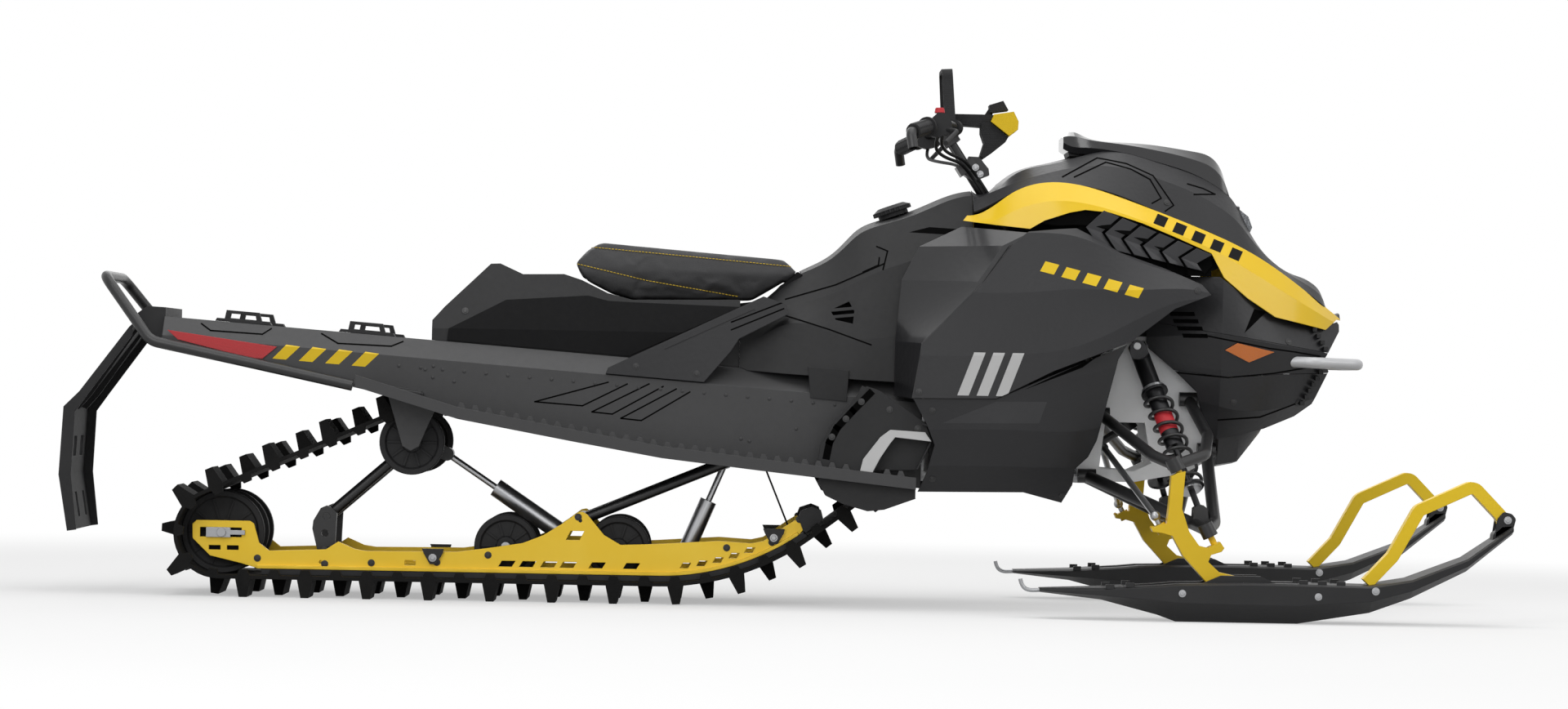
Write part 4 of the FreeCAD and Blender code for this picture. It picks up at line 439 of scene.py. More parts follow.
def joined(meshes: list[bpy.types.Mesh]) -> bpy.types.Mesh:
    """Puts several meshes into one.

    Args:
        meshes: The meshes, which are used up.

    Returns:
        The mesh of them all.
    """
    whole = bmesh.new()
    for mesh in meshes:
        whole.from_mesh(mesh)
        bpy.data.meshes.remove(mesh)
    return keep(whole, "joined")


def evaluated(obj: bpy.types.Object) -> bpy.types.Mesh:
    """A plain mesh of an object, as its modifiers or its bevel leave it.

    Args:
        obj: The object.

    Returns:
        The mesh.
    """
    bpy.context.view_layer.update()
    graph = bpy.context.evaluated_depsgraph_get()
    return bpy.data.meshes.new_from_object(obj.evaluated_get(graph))


def cut_to(mesh: bmesh.types.BMesh, outline: list[Flat]) -> None:
    """Keeps what of a mesh lies inside a convex side-view outline.

    Args:
        mesh: The mesh to cut.
        outline: Corners (x, z) in metres, in either turning sense.
    """
    centre = Vector((sum(p[0] for p in outline) / len(outline), 0, sum(p[1] for p in outline) / len(outline)))
    for a, b in zip(outline, outline[1:] + outline[:1]):
        along = Vector((b[0] - a[0], 0, b[1] - a[1]))
        out = along.cross(Vector((0, 1, 0))).normalized()
        corner = Vector((a[0], 0, a[1]))
        if (centre - corner).dot(out) > 0:
            out = -out
        everything = mesh.verts[:] + mesh.edges[:] + mesh.faces[:]
        bmesh.ops.bisect_plane(mesh, geom=everything, plane_co=corner, plane_no=out, clear_outer=True)


def patch(node: str, outlines: list[Line], sign: int) -> bpy.types.Mesh:
    """A film cut from a panel's own outer face.

    Args:
        node: The CAD node it lies on.
        outlines: Convex side-view outlines, in drawing millimetres.
        sign: 1 for the left side, -1 for the right.

    Returns:
        The film's mesh, without faces where the panel has none inside the outlines.
    """
    pieces = []
    for outline in outlines:
        part = bmesh.new()
        part.from_mesh(node_mesh(node))
        away = [face for face in part.faces
                if face.normal.y * sign < SIDEWAYS or face.calc_center_median().y * sign < MIDDLE]
        bmesh.ops.delete(part, geom=away, context="FACES")
        cut_to(part, [side(*point) for point in outline])
        bmesh.ops.remove_doubles(part, verts=part.verts, dist=SAME_POINT)
        part.normal_update()
        for vertex in part.verts:
            vertex.co += vertex.normal * FILM
        pieces.append(keep(part, "piece"))
    return joined(pieces)


def line_outlines(points: Line, width: float) -> list[Line]:
    """Convex outlines that together follow a line.

    Args:
        points: The line's side-view points, in drawing millimetres.
        width: The line's width, in millimetres.

    Returns:
        One outline for each run, a third of the width longer at each end.
    """
    outlines = []
    for start, end in zip(points, points[1:]):
        a, b = Vector(start), Vector(end)
        run = (b - a).normalized()
        over = run * width / 3
        off = Vector((-run.y, run.x)) * width / 2
        corners = (a - over + off, b + over + off, b + over - off, a - over - off)
        outlines.append(tuple(tuple(corner) for corner in corners))
    return outlines


def rod_mesh(a: Vector, b: Vector, radius: float, segments: int) -> bpy.types.Mesh:
    """A round bar between two points.

    Args:
        a: One end.
        b: The other end.
        radius: Its radius.
        segments: Sides of its section.

    Returns:
        The mesh.
    """
    shape = bmesh.new()
    turn = (b - a).to_track_quat("Z", "Y").to_matrix().to_4x4()
    bmesh.ops.create_cone(shape, cap_ends=True, segments=segments, radius1=radius, radius2=radius,
                          depth=(b - a).length, matrix=Matrix.Translation((a + b) / 2) @ turn)
    return keep(shape, "rod")


def slab_mesh(outline: Line, y0: float, y1: float, edge: float = 0.0015) -> bpy.types.Mesh:
    """A plate with rounded edges, drawn from the side.

    Args:
        outline: Side-view corners in drawing millimetres.
        y0: One face, in millimetres from the centre plane.
        y1: The other face.
        edge: Rounding of its edges, in metres.

    Returns:
        The mesh.
    """
    shape = bmesh.new()
    near, far = ([shape.verts.new(at(x, y, z)) for x, z in outline] for y in (y0, y1))
    shape.faces.new(near)
    shape.faces.new(far[::-1])
    for i in range(len(outline)):
        shape.faces.new((near[i], near[i - 1], far[i - 1], far[i]))
    bmesh.ops.recalc_face_normals(shape, faces=shape.faces)
    bmesh.ops.bevel(shape, geom=shape.edges[:], offset=edge, segments=2, affect="EDGES", clamp_overlap=True)
    return keep(shape, "slab")


def bent_tube(name: str, route: list[Vector], radius: float, resolution: int) -> bpy.types.Object:
    """A round tube along the smooth line of a few control points.

    Args:
        name: The object's name.
        route: The control points.
        radius: The tube's radius, in metres.
        resolution: Steps from one control point to the next.

    Returns:
        The curve object.
    """
    curve = bpy.data.curves.new(name, "CURVE")
    curve.dimensions = "3D"
    curve.bevel_depth = radius
    curve.bevel_resolution = 3
    curve.use_fill_caps = True
    spline = curve.splines.new("NURBS")
    spline.points.add(len(route) - 1)
    for point, place in zip(spline.points, route):
        point.co = (*place, 1.0)
    spline.order_u = 3
    spline.use_endpoint_u = True
    spline.resolution_u = resolution
    return linked(name, curve)


class Probe:
    """Finds places on a surface."""

    def __init__(self, *meshes: bpy.types.Mesh) -> None:
        """Reads the surface.

        Args:
            meshes: The meshes that make it up.
        """
        shape = bmesh.new()
        for mesh in meshes:
            shape.from_mesh(mesh)
        bmesh.ops.triangulate(shape, faces=shape.faces)
        self.tree = BVHTree.FromBMesh(shape)
        shape.free()

    def shoot(self, start: Vector, way: Vector) -> Place | None:
        """Where a ray first meets the surface, and the way the surface faces there; None where it misses."""
        hit, normal, _, _ = self.tree.ray_cast(start, way)
        return None if hit is None else (hit, normal)

    def from_side(self, x: float, z: float, sign: int) -> Place | None:
        """The surface at a side-view point of the drawing, seen from the left (1) or the right (-1)."""
        return self.shoot(at(x, sign * FAR, z), Vector((0, -sign, 0)))

    def both_sides(self, points: Line) -> list[Place]:
        """The surface at several side-view points, seen from the left and from the right, where it is met."""
        return [hit for x, z in points for sign, _ in SIDES if (hit := self.from_side(x, z, sign))]


@dataclass(frozen=True)
class Head:
    """A kind of screw or rivet head."""

    radius: float              # of its flange, in metres
    height: float              # of its flange
    finish: str


@dataclass(frozen=True)
class Bar:
    """A kind of short bar, square or round."""

    length: float              # in metres
    half: float                # half its width, or its radius
    finish: str


class Repeater:
    """Geometry Nodes trees that set small parts on points or along lines."""

    CORE_WIDTH = 0.62          # a screw's hexagon against its flange
    CORE_HEIGHT = 1.9

    def __init__(self, finishes: Finishes) -> None:
        """Builds the trees, which every row of small parts shares.

        Args:
            finishes: The machine's finishes.
        """
        self.finishes = finishes
        self.heads = self.head_tree()
        self.stitches = self.stitch_tree()
        self.square_bars = self.bar_tree()

    def head_tree(self) -> bpy.types.NodeTree:
        """Flanged screw heads, one on each point, facing along the point's "facing" attribute.

        Returns:
            The tree.
        """
        tree, entry = self.group("screw_heads", {"Radius": 0.006, "Height": 0.003})
        radius, height = entry.outputs["Radius"], entry.outputs["Height"]
        small = self.times(tree, radius, self.CORE_WIDTH)
        tall = self.times(tree, height, self.CORE_HEIGHT)
        head = add_node(tree, "GeometryNodeJoinGeometry")
        for sides, wide, deep in ((16, radius, height), (6, small, tall)):
            part = add_node(tree, "GeometryNodeMeshCylinder", {"Vertices": sides},
                            {"Radius": wide, "Depth": deep})
            tree.links.new(part.outputs["Mesh"], head.inputs["Geometry"])
        self.on_points(tree, entry, head.outputs["Geometry"])
        return tree

    def bar_tree(self) -> bpy.types.NodeTree:
        """Square bars, one on each point, along the point's "facing" attribute.

        Returns:
            The tree.
        """
        tree, entry = self.group("square_bars", {"Length": 0.03, "Half Width": 0.002})
        wide = self.times(tree, entry.outputs["Half Width"], 2.0)
        size = add_node(tree, "ShaderNodeCombineXYZ",
                        links={"X": wide, "Y": wide, "Z": entry.outputs["Length"]})
        bar = add_node(tree, "GeometryNodeMeshCube", links={"Size": size.outputs["Vector"]})
        self.on_points(tree, entry, bar.outputs["Mesh"])
        return tree

    def stitch_tree(self) -> bpy.types.NodeTree:
        """Short round bars at a pitch along a curve, such as stitches and rings.

        Returns:
            The tree.
        """
        tree, entry = self.group("stitches", {"Pitch": 0.006, "Length": 0.004, "Thickness": 0.0008})
        run = add_node(tree, "GeometryNodeResampleCurve", mode="LENGTH",
                       links={"Curve": entry.outputs["Geometry"], "Length": entry.outputs["Pitch"]})
        tangent = add_node(tree, "GeometryNodeInputTangent").outputs["Tangent"]
        bar = add_node(tree, "GeometryNodeMeshCylinder", {"Vertices": 8},
                       {"Radius": entry.outputs["Thickness"], "Depth": entry.outputs["Length"]})
        self.close(tree, entry, run.outputs["Curve"], tangent, bar.outputs["Mesh"])
        return tree

    def times(self, tree: bpy.types.NodeTree, value: bpy.types.NodeSocket,
              factor: float) -> bpy.types.NodeSocket:
        """A size multiplied by a plain number."""
        return add_node(tree, "ShaderNodeMath", {1: factor}, {0: value}, operation="MULTIPLY").outputs[0]

    def group(self, name: str, sizes: dict[str, float]) -> tuple[bpy.types.NodeTree, bpy.types.Node]:
        """A new tree with a geometry input, named sizes and a material.

        Args:
            name: The tree's name.
            sizes: Input names and defaults.

        Returns:
            The tree and its input node.
        """
        tree = bpy.data.node_groups.new(name, "GeometryNodeTree")
        tree.interface.new_socket("Geometry", in_out="INPUT", socket_type="NodeSocketGeometry")
        for label, value in sizes.items():
            socket = tree.interface.new_socket(label, in_out="INPUT", socket_type="NodeSocketFloat")
            socket.default_value = value
        tree.interface.new_socket("Material", in_out="INPUT", socket_type="NodeSocketMaterial")
        tree.interface.new_socket("Geometry", in_out="OUTPUT", socket_type="NodeSocketGeometry")
        return tree, add_node(tree, "NodeGroupInput")

    def on_points(self, tree: bpy.types.NodeTree, entry: bpy.types.Node, part: bpy.types.NodeSocket) -> None:
        """Sets a part on each point of the tree's mesh, along the point's "facing" attribute.

        Args:
            tree: The tree.
            entry: Its input node.
            part: The part's geometry.
        """
        facing = add_node(tree, "GeometryNodeInputNamedAttribute", {"Name": "facing"},
                          data_type="FLOAT_VECTOR")
        points = add_node(tree, "GeometryNodeMeshToPoints", links={"Mesh": entry.outputs["Geometry"]})
        self.close(tree, entry, points.outputs["Points"], facing.outputs["Attribute"], part)

    def close(self, tree: bpy.types.NodeTree, entry: bpy.types.Node, points: bpy.types.NodeSocket,
              way: bpy.types.NodeSocket, part: bpy.types.NodeSocket) -> None:
        """Sets a part on points, and ends the tree in Realize Instances and Set Material.

        Args:
            tree: The tree.
            entry: Its input node.
            points: Where the parts go.
            way: Which way each part's Z axis looks.
            part: The part's geometry.
        """
        turn = add_node(tree, "FunctionNodeAlignRotationToVector", links={"Vector": way}, axis="Z")
        placed = add_node(tree, "GeometryNodeInstanceOnPoints",
                          links={"Points": points, "Instance": part, "Rotation": turn.outputs["Rotation"]})
        real = add_node(tree, "GeometryNodeRealizeInstances", links={"Geometry": placed.outputs["Instances"]})
        dressed = add_node(tree, "GeometryNodeSetMaterial",
                           links={"Geometry": real.outputs[0], "Material": entry.outputs["Material"]})
        add_node(tree, "NodeGroupOutput", links={"Geometry": dressed.outputs["Geometry"]})

    def bake(self, name: str, carrier: bpy.types.Object, tree: bpy.types.NodeTree, sizes: dict[str, float],
             finish: str, body: str) -> None:
        """Runs a tree on a carrier and keeps the result as a plain piece.

        Args:
            name: The new piece's name.
            carrier: The points or curve that the tree reads, which is used up.
            tree: The node tree.
            sizes: Input names and values.
            finish: The finish of the result.
            body: The body that it rides on.
        """
        material = self.finishes.get(finish)
        modifier = carrier.modifiers.new("repeat", "NODES")
        modifier.node_group = tree
        values = {**sizes, "Material": material}
        for item in tree.interface.items_tree:
            if item.in_out == "INPUT" and item.name in values:
                modifier[item.identifier] = values[item.name]
        mesh = evaluated(carrier)
        bpy.data.objects.remove(carrier)
        new_piece(name, mesh, material, body)

    def carrier(self, name: str, places: list[Place]) -> bpy.types.Object:
        """Points that carry the way each faces.

        Args:
            name: The name of the piece that they are for.
            places: Points with the way each faces.

        Returns:
            The carrier.
        """
        mesh = bpy.data.meshes.new(name + "_points")
        mesh.from_pydata([tuple(point) for point, _ in places], [], [])
        facing = mesh.attributes.new("facing", "FLOAT_VECTOR", "POINT")
        facing.data.foreach_set("vector", [c for _, way in places for c in way])
        return linked(name + "_points", mesh)

    def screws(self, name: str, places: list[Place], head: Head, body: str, slot: str) -> None:
        """Sets a screw head on each place, where there is any.

        Args:
            name: The piece's name.
            places: Points with the way each head faces.
            head: The kind of head.
            body: The carrying body.
            slot: Not used.
        """
        if places:
            sizes = {"Radius": head.radius, "Height": head.height}
            self.bake(name, self.carrier(name, places), self.heads, sizes, head.finish, body)

    def bars(self, name: str, places: list[Place], bar: Bar, body: str, slot: str) -> None:
        """Sets a square bar on each place, where there is any.

        Args:
            name: The piece's name.
            places: Points with the way each bar runs.
            bar: The kind of bar.
            body: The carrying body.
            slot: Not used.
        """
        if places:
            sizes = {"Length": bar.length, "Half Width": bar.half}
            self.bake(name, self.carrier(name, places), self.square_bars, sizes, bar.finish, body)

    def row(self, name: str, lines: list[list[Vector]], pitch: float, bar: Bar, body: str, slot: str) -> None:
        """Sets short round bars along lines.

        Args:
            name: The piece's name.
            lines: Polylines.
            pitch: Distance from bar to bar, in metres.
            bar: The kind of bar.
            body: The carrying body.
            slot: Not used.
        """
        curve = bpy.data.curves.new(name + "_line", "CURVE")
        curve.dimensions = "3D"
        for line in lines:
            spline = curve.splines.new("POLY")
            spline.points.add(len(line) - 1)
            for point, place in zip(spline.points, line):
                point.co = (*place, 1.0)
        sizes = {"Pitch": pitch, "Length": bar.length, "Thickness": bar.half}
        self.bake(name, linked(name + "_line", curve), self.stitches, sizes, bar.finish, body)


def seen_rays(tree: bpy.types.NodeTree) -> bpy.types.NodeSocket:
    """One for the rays that show the background: from the camera, off metal and through glass.

    Args:
        tree: The material's or the world's tree.

    Returns:
        The socket that gives one or nothing.
    """
    rays = add_node(tree, "ShaderNodeLightPath").outputs
    seen = rays["Is Camera Ray"]
    for other in ("Is Glossy Ray", "Is Transmission Ray"):
        either = add_node(tree, "ShaderNodeMath", links={0: seen, 1: rays[other]}, operation="MAXIMUM")
        seen = either.outputs["Value"]
    return seen


@dataclass
class Studio:
    """Plain floor, soft lamps and the camera at the photograph's place."""

    eye: Point = (-0.0921, -10.218, 0.5038)
    roll_deg: float = 1.09
    aim_right: float = 0.01077      # image centre against the square-on direction
    aim_up: float = 0.00503
    lens_mm: float = 104.46
    sensor_mm: float = 36.0
    sight: float = 200.0            # how far the camera sees, in metres
    floor_half: float = 60.0
    fade_from: float = 2.4          # the floor turns plain white between these distances
    fade_to: float = 4.2
    glow: float = 0.42              # share of the floor's whiteness that no shadow takes away
    world: float = 0.30
    lit_point: Point = (0.0, 0.0, 0.5)
    lamps: tuple[tuple[str, Point, float, float], ...] = (     # name, place, side in metres, watts
        ("top_softbox", (0.3, -0.6, 5.0), 5.0, 140.0),
        ("key_softbox", (-2.0, -5.4, 3.6), 3.2, 120.0),
        ("front_softbox", (5.2, -2.6, 3.2), 2.6, 60.0),
        ("back_softbox", (-1.0, 5.2, 3.6), 4.0, 70.0),
        ("low_strip", (0.5, -6.0, 0.9), 1.6, 16.0),
    )

    def build(self) -> None:
        """Makes the studio."""
        self.camera()
        self.floor()
        self.surroundings()
        for lamp in self.lamps:
            self.lamp(*lamp)

    def camera(self) -> None:
        """Places the camera."""
        roll = math.radians(self.roll_deg)
        right = Vector((math.cos(roll), 0, math.sin(roll)))
        up = Vector((-math.sin(roll), 0, math.cos(roll)))
        ahead = (Vector((0, 1, 0)) + right * self.aim_right + up * self.aim_up).normalized()
        right = (right - ahead * right.dot(ahead)).normalized()
        up = right.cross(ahead)
        data = bpy.data.cameras.new("camera")
        data.lens = self.lens_mm
        data.sensor_width = self.sensor_mm
        data.clip_end = self.sight
        eye = linked("camera", data)
        turn = Matrix((right, up, -ahead)).transposed()
        eye.matrix_world = Matrix.Translation(self.eye) @ turn.to_4x4()
        bpy.context.scene.camera = eye

    def floor(self) -> None:
        """A white floor that keeps the machine's soft shadow and fades to plain white farther out."""
        mesh = bpy.data.meshes.new("studio_floor")
        h = self.floor_half
        mesh.from_pydata([(-h, -h, 0), (h, -h, 0), (h, h, 0), (-h, h, 0)], [], [(0, 1, 2, 3)])
        floor = linked("studio_floor", mesh)
        material = bpy.data.materials.new("white_studio_paper")
        tree = blank_tree(material)
        paper = add_node(tree, "ShaderNodeBsdfDiffuse", {"Color": linear("#f4f4f4")})
        dull = add_node(tree, "ShaderNodeBsdfDiffuse", {"Color": linear("#8f8f8f")})
        white = add_node(tree, "ShaderNodeEmission", {"Color": (1, 1, 1, 1), "Strength": 1.0})
        place = add_node(tree, "ShaderNodeTexCoord").outputs["Object"]
        far = add_node(tree, "ShaderNodeVectorMath", links={0: place}, operation="LENGTH")
        reach = {"From Min": self.fade_from, "From Max": self.fade_to, "To Min": self.glow, "To Max": 1.0}
        fade = add_node(tree, "ShaderNodeMapRange", reach, {"Value": far.outputs["Value"]},
                        interpolation_type="SMOOTHSTEP")
        seen = add_node(tree, "ShaderNodeMixShader",
                        links={0: fade.outputs["Result"], 1: paper.outputs[0], 2: white.outputs[0]})
        mix = add_node(tree, "ShaderNodeMixShader",
                       links={0: seen_rays(tree), 1: dull.outputs[0], 2: seen.outputs[0]})
        add_node(tree, "ShaderNodeOutputMaterial", links={"Surface": mix.outputs[0]})
        mesh.materials.append(material)

    def surroundings(self) -> None:
        """White to the camera, soft light otherwise."""
        world = bpy.data.worlds.new("studio")
        bpy.context.scene.world = world
        tree = blank_tree(world)
        soft, white = (add_node(tree, "ShaderNodeBackground", {"Color": (1, 1, 1, 1), "Strength": strength})
                       for strength in (self.world, 1.0))
        mix = add_node(tree, "ShaderNodeMixShader",
                       links={0: seen_rays(tree), 1: soft.outputs[0], 2: white.outputs[0]})
        add_node(tree, "ShaderNodeOutputWorld", links={"Surface": mix.outputs[0]})

    def lamp(self, name: str, place: Point, size: float, power: float) -> None:
        """A square softbox that looks at the machine's middle.

        Args:
            name: The lamp's name.
            place: Where it hangs.
            size: Its side, in metres.
            power: Its power, in watts.
        """
        data = bpy.data.lights.new(name, "AREA")
        data.shape = "SQUARE"
        data.size = size
        data.energy = power
        lamp = linked(name, data)
        lamp.location = place
        lamp.rotation_euler = (Vector(self.lit_point) - Vector(place)).to_track_quat("-Z", "Y").to_euler()


@dataclass
class Seat:
    """Foam seat cushion in a sewn vinyl cover. Its sizes are metres, and its seams drawing millimetres."""

    finishes: Finishes
    repeater: Repeater
    voxel: float = 0.0055
    shrink: float = 0.986              # the cover starts smaller, because it swells
    pressure: float = 4.0
    frames: int = 20
    cap: float = 0.007                 # how far a point may move
    foot: float = 0.05                 # the part above its lowest point that doesn't sink
    groove: float = 0.0016             # depth of a sewn channel
    groove_half: float = 0.006
    groove_reach: float = 0.02         # nothing is pressed in farther from the seam than this
    seam_steps: int = 24               # from one point of a seam to the next
    stitch: Bar = Bar(0.0055, 0.0009, "yellow_polyester_thread")
    stitch_pitch: float = 0.0075
    seams: tuple[Line, ...] = (((-436, 788), (-200, 770), (26, 752)), ((-452, 748), (-300, 715), (-92, 683)))

    def build(self) -> None:
        """Makes the cushion and its seams."""
        mesh = bmesh.new()
        mesh.from_mesh(node_mesh("seat_cushion"))
        bmesh.ops.remove_doubles(mesh, verts=mesh.verts, dist=SAME_POINT)
        centre = sum((v.co for v in mesh.verts), Vector()) / len(mesh.verts)
        for vertex in mesh.verts:
            vertex.co = centre + (vertex.co - centre) * self.shrink
        cushion = linked("sewn_cushion", keep(mesh, "sewn_cushion"))
        self.fill(cushion)
        probe = Probe(cushion.data)
        seams = [self.trace(probe, line, sign) for line in self.seams for sign in (-1, 1)]
        self.sink(cushion, seams)
        for polygon in cushion.data.polygons:
            polygon.use_smooth = True
        cushion.data.materials.clear()
        cushion.data.materials.append(self.finishes.get("grey_gripper_vinyl"))
        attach(cushion, "chassis")
        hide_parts("seat_cushion")
        log.info("sewn_cushion: %d faces", len(cushion.data.polygons))
        raised = [[point + normal * FILM for point, normal in seam] for seam in seams]
        self.repeater.row("seat_stitches", raised, self.stitch_pitch, self.stitch, "chassis", "seat_cushion")

    def fill(self, cushion: bpy.types.Object) -> None:
        """Remeshes the cover and swells it by cloth pressure, each point held within the cap.

        Args:
            cushion: The cover, a little smaller than its solid.
        """
        bpy.context.view_layer.objects.active = cushion
        cushion.select_set(True)
        remesh = cushion.modifiers.new("voxels", "REMESH")
        remesh.mode = "VOXEL"
        remesh.voxel_size = self.voxel
        bpy.ops.object.modifier_apply(modifier=remesh.name)
        self.swell(cushion)
        smooth = cushion.modifiers.new("smooth", "SMOOTH")
        smooth.iterations = 3
        finer = cushion.modifiers.new("finer", "SUBSURF")
        finer.levels = 1
        finer.render_levels = 1
        for modifier in (smooth, finer):
            bpy.ops.object.modifier_apply(modifier=modifier.name)
        cushion.select_set(False)

    def swell(self, cushion: bpy.types.Object) -> None:
        """Runs the cloth and moves each point by what it gives, up to the cap.

        Args:
            cushion: The remeshed cover.
        """
        rest = [v.co.copy() for v in cushion.data.vertices]
        cloth = cushion.modifiers.new("foam", "CLOTH")
        cloth.settings.use_pressure = True
        cloth.settings.uniform_pressure_force = self.pressure
        cloth.settings.effector_weights.gravity = 0.0
        for number in range(1, self.frames + 1):
            bpy.context.scene.frame_set(number)
        swollen = evaluated(cushion)
        cushion.modifiers.remove(cloth)
        low = min(point.z for point in rest)
        for vertex, home, moved in zip(cushion.data.vertices, rest, swollen.vertices):
            step = moved.co - home
            if step.length > self.cap:
                step *= self.cap / step.length
            if step.z < 0 and home.z < low + self.foot:
                step.z = 0.0
            vertex.co = home + step
        bpy.data.meshes.remove(swollen)
        bpy.context.scene.frame_set(1)

    def trace(self, probe: Probe, line: Line, sign: int) -> list[Place]:
        """Follows a side-view line on the cushion's flank.

        Args:
            probe: The cushion's surface.
            line: Side-view points.
            sign: 1 for the left side, -1 for the right.

        Returns:
            Surface points with their normals.
        """
        found = []
        for a, b in zip(line, line[1:]):
            for k in range(self.seam_steps):
                t = k / self.seam_steps
                hit = probe.from_side(a[0] + (b[0] - a[0]) * t, a[1] + (b[1] - a[1]) * t, sign)
                if hit:
                    found.append(hit)
        return found

    def sink(self, cushion: bpy.types.Object, seams: list[list[Place]]) -> None:
        """Presses a shallow channel along each seam.

        Args:
            cushion: The filled cushion.
            seams: Surface points with their normals.
        """
        places = [place for seam in seams for place in seam]
        near = KDTree(len(places))
        for i, (point, _) in enumerate(places):
            near.insert(point, i)
        near.balance()
        for vertex in cushion.data.vertices:
            _, i, distance = near.find(vertex.co)
            if distance < self.groove_reach:
                vertex.co -= places[i][1] * self.groove * math.exp(-(distance / self.groove_half) ** 2)


@dataclass
class Bodywork:
    """Panels, their seams, marks and fasteners. Its points and sizes are drawing millimetres."""

    finishes: Finishes
    repeater: Repeater
    groove: float = 3.2            # width of a painted shade line along a seam or an embossed line
    band: float = 16.0             # width of the footwell's bolted band
    band_line: Line = ((196, 476), (158, 436), (124, 398), (108, 366), (102, 334))
    blade_count: int = 6
    blade_share: float = 0.84      # how much of a step to the next a blade covers
    blade_rises: Flat = (11.0, 4.0)    # how far its rear and front edges stand out
    blade_depth: float = 13.5      # from its outer to its inner skin
    blade_y: float = 238.0
    blade_lines: tuple[tuple[Flat, Flat], ...] = (      # top, fold and bottom: the first point, and the step
        ((702, 885), (41, -15.8)), ((663, 848), (42, -12.8)), ((692, 806), (39, -8.4)))
    tooth_spans: tuple[Flat, ...] = ((470, 546), (592, 642))   # heights that the front grille's slats cover
    tooth_pitch: float = 14.0
    tooth_y: float = 124.0         # beside the grille, on the nose's own edge
    tooth: Bar = Bar(0.03, 0.0046, "grained_black_polypropylene")
    vent_walls: tuple[tuple[Line, float, float], ...] = (      # outline, inner and outer face
        (((95, 600), (172, 600), (176, 690), (100, 676)), 118, 122),
        (((104, 664), (166, 673), (166, 666), (104, 657)), 122.5, 134),
        (((104, 648), (166, 657), (166, 650), (104, 641)), 122.5, 134))
    middle_walls: tuple[tuple[Line, float], ...] = (           # outline and half width: shroud, seat's nose
        (((430, 760), (680, 760), (680, 905), (600, 925), (500, 915), (430, 885)), 2),
        (((-110, 640), (-100, 668), (-40, 676), (34, 742), (46, 735), (20, 690), (-20, 640)), 95))
    bumper_end: Line = ((-942, 483), (-784, 461), (-784, 448), (-942, 470))
    bumper_faces: Flat = (206.4, 229)
    bumper_edge: float = 0.004     # its rounding, in metres
    bar_rows: tuple[tuple[str, str, str, int, Flat, Line], ...] = (
        # panel, name, finish, how many, the step, and the first bar's corners
        ("side_panels", "slanted_bars", "pale_vinyl_film", 3, (42, 0),
         ((383, 474), (408, 474), (443, 568), (418, 568))),
        ("tunnel", "slanted_dashes", "yellow_vinyl_film", 4, (58, -4.1),
         ((-1118, 526), (-1088, 524), (-1058, 553), (-1088, 557))),
        ("accent_panels", "band_bars", "black_print_and_painted_shade_polypropylene", 5, (42, -17.6),
         ((812, 860), (836, 851), (848.1, 873), (824.1, 882))),
        ("side_panels", "short_bars", "yellow_vinyl_film", 5, (46, -12),
         ((560, 748), (590, 740.5), (602.1, 762.5), (572.1, 770))),
    )
    shade_and_highlight_films: tuple[tuple[str, str, str, tuple[Line, ...]], ...] = (
        # panel, name, finish, and convex outlines
        # the slot, slit, slats and wedge are painted shade; the upper facet is a painted highlight
        ("console", "slot", "painted_shade_black", (((280, 833), (324, 845), (483, 835), (396, 827)),)),
        ("nose_panels", "cheek_slit", "painted_shade_black", (((1040, 676), (1068, 670), (1017, 622)),)),
        ("nose_panels", "duct_slats", "painted_shade_black",
         tuple(((x, z), (x + 52, z), (x + 50, z + 9), (x - 3, z + 9))
               for x, z in ((858, 658), (866, 642), (875, 626), (886, 610)))),
        ("lower_panels", "upper_facet", "painted_highlight_satin_polypropylene",
         (((300, 460), (312, 412), (563, 416), (592, 500), (560, 500), (469, 462)),)),
        ("lower_panels", "shadow_wedge", "painted_shade_black",
         (((482, 470), (640, 528), (700, 572), (591, 519), (497, 476)),)),
    )
    # dark lines of painted shade along seams and embossed lines
    painted_shade_grooves: tuple[tuple[str, tuple[Line, ...]], ...] = (
        ("hood", (
            ((614, 960), (694, 1006), (758, 994), (816, 968), (861, 902), (841, 888)),
            ((640, 960), (712, 996), (767, 981), (809, 959), (833, 917), (812, 905)),
            ((895, 952), (931, 943), (959, 931), (908, 928)))),
        ("tunnel", (
            ((-379, 488), (-540, 442), (-435, 435), (-337, 485)),
            ((-289, 486), (-414, 422), (-369, 418), (-258, 481)),
            ((-229, 476), (-350, 409), (-305, 405), (-199, 470)),
            ((-1279, 600), (-1257, 585), (-1143, 579), (-1125, 592)),
            ((-1014, 583), (-976, 562), (-859, 558), (-834, 569)))),
        ("console", (
            ((208, 800), (232, 790), (222, 748)), ((178, 742), (212, 758), (214, 775)),
            ((6, 643), (106, 613), (198, 581)), ((8, 679), (119, 713), (224, 761)))),
        ("nose_panels", (
            ((925, 617), (966, 609), (1075, 590), (1139, 583), (1197, 575)),
            ((862, 534), (985, 524), (1087, 535), (1192, 554)),
            ((968, 430), (1062, 438), (1160, 475)))),
        ("frame_braces", (((-111, 625), (0, 670)), ((-111, 608), (4, 657)))),
    )
    screw: Head = Head(0.0075, 0.0022, "black_powder_coated_steel")
    screw_places: tuple[tuple[str, Line], ...] = (
        ("hood", ((846, 908),)),
        ("side_panels", ((300, 480), (905, 712))),
        ("lower_panels", ((335, 290), (622, 258), (330, 440))),
        ("frame_braces", ((-319, 524), (-185, 510), (100, 480), (112, 505))),
        ("nose_panels", ((1120, 606), (1000, 470), (1150, 470))),
        ("seat_base", ((-700, 640),)),
        ("footwells", ((143, 418), (113, 378), (176, 456), (300, 400), (238, 440))),
    )

